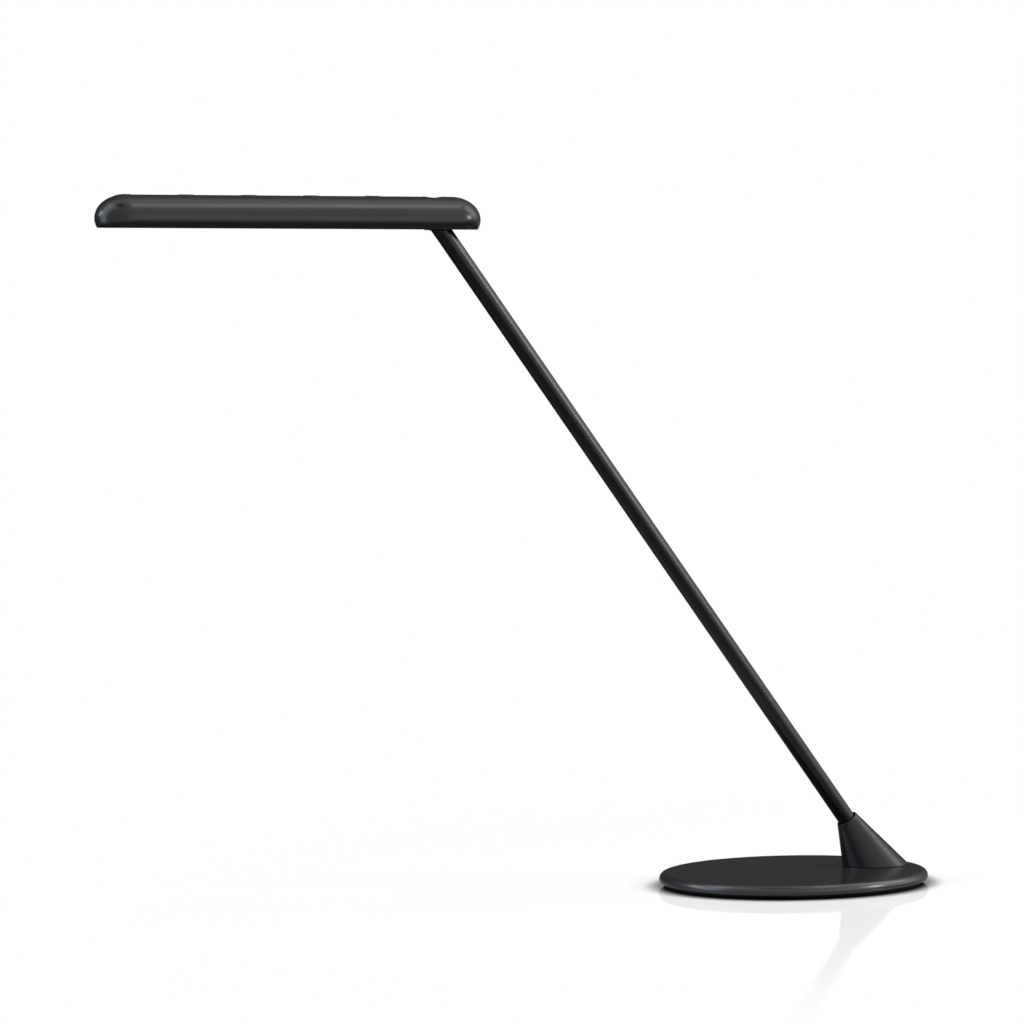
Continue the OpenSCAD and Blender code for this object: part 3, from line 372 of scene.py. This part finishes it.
def moulded(name, colour, matt, shade=0.12, grain=0.25, sheen=0.4):
    """Moulded plastic or rubber: spark-eroded grain and a slow change of shade."""
    f = Finish(name)
    cloud = f.noise(20)
    pits = f.noise(grain)
    mixed = f.blend(cloud * 0.6 + pits * 0.4, shaded(colour, 1 - shade), shaded(colour, 1 + shade))
    rough = (cloud - 0.5) * 0.08 + (pits - 0.5) * 0.08 + matt
    relief = f.bump(pits, 0.010, 0.5)
    return f.surface(base_color=mixed, roughness=rough, normal=relief, specular_ior_level=sheen)


def turned_metal(name, colour, matt):
    """Bare metal: fine tool marks and a slightly uneven shine."""
    f = Finish(name)
    cloud = f.noise(9, detail=3.0)
    marks = f.noise(0.3, detail=3.0, rough=0.7)
    mixed = f.blend(cloud * 0.5 + marks * 0.5, shaded(colour, 0.8), shaded(colour, 1))
    rough = (cloud - 0.5) * 0.2 + (marks - 0.5) * 0.15 + matt
    relief = f.bump(marks, 0.006, 0.5)
    return f.surface(base_color=mixed, roughness=rough, normal=relief, metallic=1.0)


def opal(name):
    """Frosted light cover: milky, with a fine etched surface."""
    f = Finish(name)
    frost = f.noise(0.3)
    cloud = f.noise(30)
    colour = f.blend(cloud, (0.80, 0.80, 0.77, 1.0), (0.88, 0.88, 0.85, 1.0))
    rough = (frost - 0.5) * 0.12 + 0.42
    return f.surface(base_color=colour, roughness=rough, normal=f.bump(frost, 0.008, 0.5))


def circuit(name, colour, pitch=9):
    """Solder mask with copper runs showing through as slightly lighter lines."""
    f = Finish(name)
    runs = f.node("ShaderNodeTexBrick", values={
        "Vector": f.place, "Scale": 1 / (pitch * MM), "Mortar Size": 0.05, "Color1": (0, 0, 0, 1),
        "Color2": (0, 0, 0, 1), "Mortar": (1, 1, 1, 1)}, out=1)
    cloud = f.noise(1.2)
    mixed = f.blend(runs * 0.6 + cloud * 0.3, shaded(colour, 1), shaded(colour, 1.5, lift=0.02))
    rough = (cloud - 0.5) * 0.1 + 0.35
    return f.surface(base_color=mixed, roughness=rough, normal=f.bump(runs, 0.03, 0.6))


paint = satin_paint("satin_black_paint", level=0.0080, matt=0.24, sheen=0.19)
head_paint = satin_paint("satin_black_head", level=0.0065, matt=0.24, sheen=0.235)
coat = powder_coat("black_powder_coat", level=0.018, matt=0.22, sheen=0.33)
black_steel = powder_coat("blackened_steel", level=0.002, matt=0.55, sheen=0.04)
pad_rubber = moulded("pad_rubber", (0.002, 0.002, 0.002), matt=0.72, grain=0.5, sheen=0.03)
button_black = moulded("button_black", (0.006, 0.006, 0.0065), matt=0.42, grain=0.2, sheen=0.12)
black_plastic = moulded("black_plastic", (0.015, 0.015, 0.015), matt=0.5)
nylon = moulded("natural_nylon", (0.72, 0.71, 0.66), matt=0.42, shade=0.05)
zinc = turned_metal("zinc_plate", (0.62, 0.62, 0.60), matt=0.32)
steel = turned_metal("plain_steel", (0.50, 0.50, 0.50), matt=0.38)
alloy = turned_metal("extruded_alloy", (0.78, 0.78, 0.79), matt=0.36)
lens = opal("opal_cover")
green_board = circuit("green_board", (0.02, 0.11, 0.05))
white_board = circuit("white_board", (0.75, 0.75, 0.72))
phosphor = moulded("phosphor", (0.85, 0.68, 0.12), matt=0.35, shade=0.06)


# ---- Mesh making ----
def weld(mesh, distance):
    """Joins points that lie together, takes out what has no area, and turns all faces outwards."""
    shape = bmesh.new()
    shape.from_mesh(mesh)
    bmesh.ops.remove_doubles(shape, verts=shape.verts, dist=distance * MM)
    bmesh.ops.dissolve_degenerate(shape, edges=shape.edges, dist=distance * MM)
    bmesh.ops.recalc_face_normals(shape, faces=shape.faces)
    shape.to_mesh(mesh)
    shape.free()


def smooth(mesh, sharp):
    """Smooth shading but for edges sharper than this angle."""
    mesh.shade_smooth()
    mesh.set_sharp_from_angle(angle=math.radians(sharp))


def make_piece(name, points, faces, place=None, finish=None, sharp=40):
    """A closed mesh from points in millimetres."""
    mesh = bpy.data.meshes.new(name)
    place = place or Matrix.Identity(4)
    scale = Matrix.Scale(MM, 4)
    mesh.from_pydata([scale @ (place @ Vector(p)) for p in points], [], faces)
    weld(mesh, WELD)
    smooth(mesh, sharp)
    piece = bpy.data.objects.new(name, mesh)
    bpy.context.scene.collection.objects.link(piece)
    if finish is not None:
        mesh.materials.append(finish)
    return piece


def circle(radius, sides, x=0.0, start=0.0):
    """Points round a circle about (x, 0), from a start given in sides."""
    turns = [2 * math.pi * (i + start) / sides for i in range(sides)]
    return [(x + radius * math.cos(a), radius * math.sin(a)) for a in turns]


def curve(x, y, rx, ry, start, end, steps):
    """Points along an ellipse from one angle to another, in degrees."""
    turns = [math.radians(start + (end - start) * i / steps) for i in range(steps + 1)]
    return [(x + rx * math.cos(a), y + ry * math.sin(a)) for a in turns]


def sweep(rings, closed=True):
    """Points and faces of a skin through rings of as many points; closed joins the ends of each ring too."""
    count = len(rings[0])
    points = [p for ring in rings for p in ring]
    faces = []
    for i in range(len(rings)):
        low, high = i * count, (i + 1) % len(rings) * count
        for k in range(count if closed else count - 1):
            n = (k + 1) % count
            faces.append((low + k, high + k, high + n, low + n))
    return points, faces


def turn(section, sides):
    """A skin turned from a closed section, whose points are (x of the axis, radius, height)."""
    rings = []
    for i in range(sides):
        a = 2 * math.pi * i / sides
        rings.append([(x + r * math.cos(a), r * math.sin(a), z) for x, r, z in section])
    return sweep(rings)


def round_cutter(name, radius, ends, place, sides=HOLE_ROUND, x=0.0):
    """A plain round post about (x, 0), between two heights, to cut with."""
    points = [(px, py, z) for z in ends for px, py in circle(radius, sides, x, CUTTER_START)]
    faces = [(i, (i + 1) % sides, sides + (i + 1) % sides, sides + i) for i in range(sides)]
    faces += [tuple(range(sides)), tuple(range(sides, 2 * sides))]
    return make_piece(name, points, faces, place)


def cut_out(piece, cutters):
    """Takes the cutters away from the piece for good."""
    for cutter in cutters:
        hole = piece.modifiers.new("hole", "BOOLEAN")
        hole.operation = "DIFFERENCE"
        hole.solver = "EXACT"
        hole.object = cutter
    bpy.context.view_layer.update()
    whole = piece.evaluated_get(bpy.context.evaluated_depsgraph_get())
    cut_mesh = bpy.data.meshes.new_from_object(whole)
    weld(cut_mesh, CUT_WELD)
    old = piece.data
    piece.modifiers.clear()
    piece.data = cut_mesh
    bpy.data.meshes.remove(old)
    for cutter in cutters:
        bpy.data.objects.remove(cutter)


def exact_normals(piece, rule, slack=25, sharp=35):
    """Gives each corner the true normal of the surface where the face lies on it."""
    mesh = piece.data
    smooth(mesh, sharp)
    normals = [Vector(n.vector) for n in mesh.corner_normals]
    limit = math.cos(math.radians(slack))
    for face in mesh.polygons:
        for corner in face.loop_indices:
            true = rule(mesh.vertices[mesh.loops[corner].vertex_index].co)
            if true is not None and true.dot(face.normal) > limit:
                normals[corner] = true
    mesh.normals_split_custom_set(normals)


# ---- Head ----
def crown_section(inset=0.0, steps=40, under_steps=10):
    """Half section of the crown from crest to underside, as (radius, height)."""
    half, crown = HEAD_HALF - inset, CROWN - inset
    low = -math.degrees(math.asin(BELLY / crown))
    upper = curve(0, LIFT, half, crown, 90, 0, steps)
    return upper + curve(0, LIFT, half, crown, 0, low, under_steps)[1:]


def stadium_stations(step=3.0, around=36):
    """Places round the head's plan: a centre on the core line and a direction."""
    arcs = [math.pi * i / around for i in range(around + 1)]
    straight = round((CORE_BACK - CORE_TIP) / step)
    line = [CORE_BACK + (CORE_TIP - CORE_BACK) * i / straight for i in range(1, straight)]
    stations = [(CORE_BACK, a - math.pi / 2) for a in arcs]
    stations += [(x, math.pi / 2) for x in line]
    stations += [(CORE_TIP, a + math.pi / 2) for a in arcs]
    stations += [(x, -math.pi / 2) for x in reversed(line)]
    return stations


def round_plan(section):
    """Carries a (radius, height) section, open on the middle line, round the head's plan."""
    rings = []
    for x, a in stadium_stations():
        rings.append([(x + r * math.cos(a), r * math.sin(a), z) for r, z in section])
    return sweep(rings, closed=False)


def past_core(x):
    """How far a place lies beyond the ends of the core line, with its sign."""
    return x - min(max(x, CORE_TIP), CORE_BACK)


def crown_normal(point):
    """True normal of the head's outside at a point, or nothing on the core line."""
    p = HEAD_PLACE.inverted() @ (point / MM)
    n = Vector((past_core(p.x) / HEAD_HALF ** 2, p.y / HEAD_HALF ** 2, (p.z - LIFT) / CROWN ** 2))
    if n.length < 1e-9:
        return None
    return (HEAD_PLACE.to_3x3() @ n.normalized()).normalized()


def crown_height(x, y, lift=0.0):
    """Height of the head's outside, lifted a little, above a place in its plan."""
    share = (past_core(x) ** 2 + y ** 2) / HEAD_HALF ** 2
    return LIFT + CROWN * math.sqrt(max(0.0, 1 - share)) + lift


def build_head_shell():
    """Hollow crown with seats for the plugs and a hole for the button."""
    outer = crown_section()
    inner = crown_section(WALL)
    rim_r, rim_z = outer.pop()
    section = outer + [(rim_r + SHELL_EDGE * 0.3, rim_z + SHELL_EDGE), (rim_r - SHELL_EDGE, rim_z)]
    section += list(reversed(inner))
    points, faces = round_plan(section)
    shell = make_piece("lamp_head_shell", points, faces, HEAD_PLACE, head_paint)
    wells = [(f"plug_seat_{i}", x, PLUG_R + PLUG_GAP, PLUG_SEAT_Z) for i, x in enumerate(PLUG_X)]
    wells.append(("button_hole", BUTTON_X, BUTTON_R + BUTTON_GAP, BUTTON_WELL_Z))
    cut_out(shell, [round_cutter(name, radius, (low, CUT_TOP), HEAD_PLACE, SMALL_ROUND, x)
                    for name, x, radius, low in wells])
    exact_normals(shell, crown_normal)
    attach(shell, "head")
    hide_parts("head_shell")


def crowned_disc(x, radius, low, lift, edge, dish=lambda r: 0.0, rows=14):
    """A round cap whose top follows the crown, with a rounded edge."""
    sides = SMALL_ROUND
    inside = [radius * k / rows for k in range(1, rows)]
    inside = [r for r in inside if r < radius - edge] + [radius - edge]
    rounds = [(radius - edge + edge * math.sin(math.radians(a)), edge * (1 - math.cos(math.radians(a))))
              for a in (22, 45, 68, 90)]
    top = [(r, 0.0) for r in inside] + rounds
    points = [(x, 0, crown_height(x, 0, lift) - dish(0))]
    for r, drop in top:
        points += [(px, py, crown_height(px, py, lift) - dish(r) - drop) for px, py in circle(r, sides, x)]
    points += [(px, py, low) for px, py in circle(radius, sides, x)]
    points.append((x, 0, low))
    faces = [(0, 1 + k, 1 + (k + 1) % sides) for k in range(sides)]
    for ring in range(len(top)):
        base = 1 + ring * sides
        for k in range(sides):
            n = (k + 1) % sides
            faces.append((base + k, base + sides + k, base + sides + n, base + n))
    last = 1 + len(top) * sides
    faces += [(len(points) - 1, last + (k + 1) % sides, last + k) for k in range(sides)]
    return points, faces


def build_plugs():
    """Round plugs over the screw wells, in one row along the crest."""
    points, faces = [], []
    for x in PLUG_X:
        more, skin = crowned_disc(x, PLUG_R, PLUG_SEAT_Z, PLUG_PROUD, PLUG_EDGE)
        faces += [tuple(i + len(points) for i in face) for face in skin]
        points += more
    plugs = make_piece("screw_well_plugs", points, faces, HEAD_PLACE, head_paint, sharp=50)
    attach(plugs, "head")
    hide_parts("screw_plugs")


def finger_dish(r):
    """Depth of the finger dish at a distance from the button's middle."""
    if r >= DISH_R:
        return 0.0
    return DISH_DEPTH * (1 - (r / DISH_R) ** 2) ** DISH_EASE


def build_button():
    """Round button that follows the crown, with a dish for the finger."""
    points, faces = crowned_disc(BUTTON_X, BUTTON_R, BUTTON_Z, BUTTON_PROUD, BUTTON_EDGE, finger_dish)
    button = make_piece("push_button", points, faces, HEAD_PLACE, button_black, sharp=50)
    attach(button, "button")
    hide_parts("power_button")


# ---- Arm ----
def build_tube():
    """Plain tube with broken edges at its ends."""
    section = [
        (ARM_BORE_R, TUBE_START), (ARM_R - ARM_EDGE, TUBE_START), (ARM_R, TUBE_START + ARM_EDGE),
        (ARM_R, TUBE_END - ARM_EDGE), (ARM_R - ARM_EDGE, TUBE_END), (ARM_BORE_R, TUBE_END)]
    points, faces = turn([(0, r, z) for r, z in section], SMALL_ROUND)
    tube = make_piece("arm_tube_painted", points, faces, ARM_PLACE, paint, sharp=30)
    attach(tube, "arm")
    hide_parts("arm_tube")


def mouth_point(angle):
    """A point on the boot's mouth edge, in the lamp's frame, and the edge's direction there."""
    low = BOOT_LEN - LIP
    at = ARM_PLACE @ Vector((MOUTH_R * math.cos(angle), MOUTH_R * math.sin(angle), low))
    along = ARM_PLACE.to_3x3() @ Vector((-math.sin(angle), math.cos(angle), 0))
    return at, along


def matching_foot(angle, reach=0.6, halvings=50):
    """The foot angle whose edge shares a tangent plane with the mouth edge at this angle."""
    at, along = mouth_point(angle)

    def miss(a):
        foot = Vector((BOOT_X + FOOT_R * math.cos(a), FOOT_R * math.sin(a), FOOT_Z + FOOT_UP))
        edge = Vector((-math.sin(a), math.cos(a), 0))
        return along.cross(at - foot).dot(edge)

    low, high = angle - reach, angle + reach
    if miss(low) * miss(high) > 0:
        return angle
    for _ in range(halvings):
        middle = (low + high) / 2
        if miss(low) * miss(middle) <= 0:
            high = middle
        else:
            low = middle
    return (low + high) / 2


def build_boot():
    """Slanted cone that rolls over at the mouth and runs down inside it to the tube."""
    lip = curve(MOUTH_R - LIP, BOOT_LEN - LIP, LIP, LIP, 15, 180, steps=11)
    bore = [(MOUTH_IN_R, BOOT_LEN - MOUTH_DEPTH), (BOOT_BORE_R, BOOT_LEN - MOUTH_DEPTH),
            (BOOT_BORE_R, BOOT_BORE_START)]
    up = Vector((0, 0, 1))
    rings = []
    for i in range(ROUND):
        angle = 2 * math.pi * i / ROUND
        foot_angle = matching_foot(angle)
        out = Vector((math.cos(foot_angle), math.sin(foot_angle), 0))
        foot = Vector((BOOT_X, 0, 0)) + out * FOOT_R
        high, _ = mouth_point(angle)
        low = foot + up * (FOOT_Z + FOOT_UP)
        low = low.lerp(high, (FOOT_EDGE - FOOT_UP) / (high.z - low.z))
        ring = [foot - out * FOOT_WIDTH + up * FOOT_Z, low - out * 2 * FOOT_EDGE - up * FOOT_EDGE]
        ring += [low.lerp(high, k / BOOT_ROWS) for k in range(BOOT_ROWS + 1)]
        spoke = Vector((math.cos(angle), math.sin(angle), 0))
        ring += [ARM_PLACE @ (spoke * r + up * z) for r, z in lip + bore]
        rings.append(ring)
    points, faces = sweep(rings)
    boot = make_piece("cone_boot", points, faces, None, paint)
    side = ARM_PLACE @ Matrix.Translation((0, 0, GRUB_HOLE_UP)) @ Matrix.Rotation(-math.pi / 2, 4, "X")
    cut_out(boot, [round_cutter("grub_hole", GRUB_HOLE_R, GRUB_HOLE_ENDS, side)])
    smooth(boot.data, sharp=45)
    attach(boot, "arm")
    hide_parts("boot")


# ---- Base ----
def edge_normal(point):
    """True normal of the base's top and rounded edge at a point, or nothing elsewhere."""
    r, z = math.hypot(point.x, point.y) / MM, point.z / MM
    if r < FLAT_R + FLAT_SLACK:
        return Vector((0, 0, 1)) if z > BASE_TOP - TOP_SLACK else None
    depth = BASE_TOP - EDGE_Z if z > EDGE_Z else EDGE_LOW
    out, up = (r - FLAT_R) / EDGE_IN ** 2, (z - EDGE_Z) / depth ** 2
    return Vector((out * point.x / r / MM, out * point.y / r / MM, up)).normalized()


def build_base_cover():
    """Round cover with a flat top, a rounded edge, the swivel's hole and the inlet's hole."""
    section = [(BOOT_X, SEAM_R, COVER_IN_Z), (BOOT_X, SEAM_R, BASE_TOP - SEAM_EDGE),
               (BOOT_X, SEAM_R + SEAM_EDGE, BASE_TOP)]
    for k in range(1, TOP_ROWS):
        share = k / TOP_ROWS
        section.append((BOOT_X * (1 - share), SEAM_R + (FLAT_R - SEAM_R) * share, BASE_TOP))
    rim_angle = math.degrees(math.asin((EDGE_Z - RIM_Z) / EDGE_LOW))
    rim = curve(FLAT_R, EDGE_Z, EDGE_IN, BASE_TOP - EDGE_Z, 90, 0, steps=24)
    rim += curve(FLAT_R, EDGE_Z, EDGE_IN, EDGE_LOW, 0, -rim_angle, steps=10)[1:]
    rim += [(RIM_IN_R, RIM_Z)]
    corner = COVER_IN_ROUND
    rim += curve(RIM_IN_R - corner, COVER_IN_Z - corner, corner, corner, 0, 90, steps=6)
    section += [(0, r, z) for r, z in rim]
    points, faces = turn(section, ROUND)
    cover = make_piece("base_cover_coated", points, faces, None, coat)
    side = Matrix.Translation((0, 0, INLET_Z)) @ Matrix.Rotation(math.pi / 2, 4, "Y")
    cut_out(cover, [round_cutter("inlet_hole", INLET_R, INLET_ENDS, side)])
    exact_normals(cover, edge_normal, slack=12)
    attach(cover, "base")
    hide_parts("base_cover")


build_head_shell()
build_plugs()
build_button()
build_tube()
build_boot()
build_base_cover()

# ---- Finishes of the pieces kept as they are ----
BY_SLOT = {
    "satin_black": paint,
    "powder_black": coat,
    "moulded_black": head_paint,
    "rubber": pad_rubber,
    "steel": zinc,
    "aluminium": alloy,
    "nylon": nylon,
    "circuit_board": green_board,
    "led_board": white_board,
    "led": phosphor,
    "lens": lens,
    "black_plastic": black_plastic,
}
BY_NAME = {
    "base_weight": steel,
    "bottom_plate": black_steel,
    "tilt_bolt": black_steel,
    "tilt_nut": black_steel,
    "tilt_washers": pad_rubber,
    "turret": black_steel,
    "grub_screw": black_steel,
}
slots = {part["node"]: part["material_slot"] for part in frame["record"]["subparts"]}
for name, node in frame["nodes"].items():
    finish = BY_NAME.get(name, BY_SLOT[slots[name]])
    node.data.materials.clear()
    node.data.materials.append(finish)


# ---- Studio ----
def floor_card():
    """White card: lit near the base with a painted contact shadow ring round it, plain white further out, with a
    mirror that fades away.
    """
    f = Finish("floor_card")
    ray = f.rays()
    satin = ray["Is Glossy Ray"] * (1 - ray["Is Singular Ray"])
    distance = f.node("ShaderNodeVectorMath", {"operation": "LENGTH"}, {0: f.place}, out="Value")
    across, back, _ = f.axes(f.place)

    # painted contact shadow: round the base the card's colour fades to near black and its own glow fades out
    painted_shadow_ends = (BASE_R * MM - PAINTED_SHADOW_IN, BASE_R * MM + PAINTED_SHADOW_OUT * (1 - satin * PAINTED_SHADOW_THIN))
    clear = f.fade(distance, painted_shadow_ends)
    card = f.blend(f.noise(150), FLOOR_LOW, FLOOR_HIGH)
    matt = f.node("ShaderNodeBsdfDiffuse", values={"Color": f.blend(clear, grey(0.01), card)})
    lit = f.node("ShaderNodeAddShader", values={0: matt, 1: f.glow(clear * FLOOR_GLOW)})
    ground = f.mix(f.fade(distance, CARD_FADE), lit, f.glow(1.0))

    # painted dark reflection: for satin rays the floor turns dark grey, keeping only these shares of its white
    close = f.fade(distance, SATIN_FADE, 1.0, 0.0)
    left = f.fade(across, SATIN_LEFT, 1.0, SATIN_SIDE_SHARE)
    front = f.fade(back, SATIN_FRONT, 1.0, SATIN_SIDE_SHARE)
    deep = f.fade(back, SATIN_BACK, *SATIN_FAR_SHARES)
    share = close * left * front + (1 - close) * deep
    dark = f.node("ShaderNodeBsdfDiffuse", values={"Color": grey(0.02)})
    ground = f.mix(satin * (1 - share), ground, dark)

    ripple = f.bump(f.noise(1.5), 0.02, 0.5)
    mirror = f.node("ShaderNodeBsdfGlossy", {"distribution": "GGX"}, {
        "Color": (1, 1, 1, 1), "Roughness": 0.0, "Normal": ripple})
    facing = f.node("ShaderNodeLayerWeight", values={"Blend": 0.5}, out="Facing")
    steep = ray["Is Camera Ray"] * (1 - facing * facing * MIRROR_GRAZE)
    near = f.fade(distance, MIRROR_FADE, 1.0, 0.0)
    f.out(f.mix(near * MIRROR * (1 - steep), ground, mirror))
    return f.material


def build_floor():
    """Round floor under the base."""
    rim = [(x, y, 0) for x, y in circle(FLOOR_R, SMALL_ROUND)]
    slices = [(0, 1 + k, 1 + (k + 1) % SMALL_ROUND) for k in range(SMALL_ROUND)]
    mesh = bpy.data.meshes.new("studio_floor")
    mesh.from_pydata([(0, 0, 0)] + rim, [], slices)
    mesh.materials.append(floor_card())
    floor = bpy.data.objects.new("studio_floor", mesh)
    bpy.context.scene.collection.objects.link(floor)


def build_light(name, azimuth, height, size, radiance, colour):
    """A soft box seen from the aim at this azimuth (0 is the front, 90 the right) and height in degrees."""
    a, h = math.radians(azimuth), math.radians(height)
    toward = Vector((math.sin(a) * math.cos(h), -math.cos(a) * math.cos(h), math.sin(h)))
    lamp = bpy.data.lights.new(name, "AREA")
    lamp.shape = "RECTANGLE"
    lamp.size, lamp.size_y = size
    lamp.energy = radiance * size[0] * size[1] * math.pi
    lamp.color = colour
    holder = bpy.data.objects.new(name, lamp)
    holder.location = LIGHT_AIM + toward * LIGHT_DISTANCE
    holder.rotation_euler = toward.to_track_quat("Z", "Y").to_euler()
    holder.visible_camera = False
    bpy.context.scene.collection.objects.link(holder)


def build_world():
    """White for the camera and in clear mirrors; for satin surfaces a room that dims behind and below."""
    world = bpy.data.worlds.new("studio")
    bpy.context.scene.world = world
    world.use_nodes = True
    f = Finish("room", world.node_tree)
    ray = f.rays()
    glossy = ray["Is Glossy Ray"]
    clear = ray["Is Camera Ray"].either(ray["Is Transmission Ray"]).either(ray["Is Singular Ray"])
    direction = f.node("ShaderNodeTexCoord", out="Generated")
    right, back, up = f.axes(direction)

    turned = f.fade(right, ROOM_TURN, ROOM_TURN_BY, 0.0, soft=False)
    levels = [(part, grey(level / ROOM_TOP)) for part, level in ROOM]
    walls = f.node("ShaderNodeValToRGB", {"stops": direction_stops(levels)},
                   {0: (back - up * ROOM_LEAN + turned) * 0.5 + 0.5})
    front = f.fade(back, ROOM_SLOPE_FADE, 1.0, 0.0, soft=False)
    toward = f.node("ShaderNodeVectorMath", {"operation": "DOT_PRODUCT"}, {0: direction, 1: CEILING_SPOT},
                    out="Value")
    ceiling = f.fade(toward, CEILING_FADE, 1.0, CEILING_SHARE)
    walls = walls * (right * front * ROOM_SLOPE + 1) * ceiling

    horizon = f.fade(right, HORIZON_TURN, *HORIZON, soft=False)
    above = f.fade(up - horizon, (-HORIZON_SOFT, HORIZON_SOFT))
    room = (walls * ROOM_TOP - ROOM_BELOW) * above + ROOM_BELOW
    level = clear + (1 - clear) * (glossy * room + (1 - glossy) * ROOM_FILL)
    tint = f.node("ShaderNodeValToRGB", {"stops": direction_stops(ROOM_TINT)}, {0: up * 0.5 + 0.5})
    colour = f.blend(clear, tint, (1, 1, 1, 1))
    sky = f.node("ShaderNodeBackground", values={"Color": colour, "Strength": level})
    f.out(sky, "ShaderNodeOutputWorld")


def build_camera():
    """The eye, turned by its yaw, its pitch and then its roll."""
    across = Vector((math.cos(EYE_YAW), -math.sin(EYE_YAW), 0))
    ahead = Vector((math.sin(EYE_YAW), math.cos(EYE_YAW), 0))
    up = Vector((0, 0, 1))
    look = ahead * math.cos(EYE_PITCH) - up * math.sin(EYE_PITCH)
    over = ahead * math.sin(EYE_PITCH) + up * math.cos(EYE_PITCH)
    right = across * math.cos(EYE_ROLL) + over * math.sin(EYE_ROLL)
    top = over * math.cos(EYE_ROLL) - across * math.sin(EYE_ROLL)
    eye = bpy.data.cameras.new("eye")
    eye.sensor_width = EYE_FILM
    eye.lens = EYE_LENS
    eye.clip_end = EYE_REACH
    holder = bpy.data.objects.new("eye", eye)
    turned = Matrix((right, top, -look)).transposed().to_4x4()
    holder.matrix_world = Matrix.Translation(EYE) @ turned
    bpy.context.scene.collection.objects.link(holder)
    bpy.context.scene.camera = holder


build_floor()
for light in LIGHTS:
    build_light(*light)
build_world()
build_camera()

bpy.context.scene.view_settings.view_transform = "Standard"
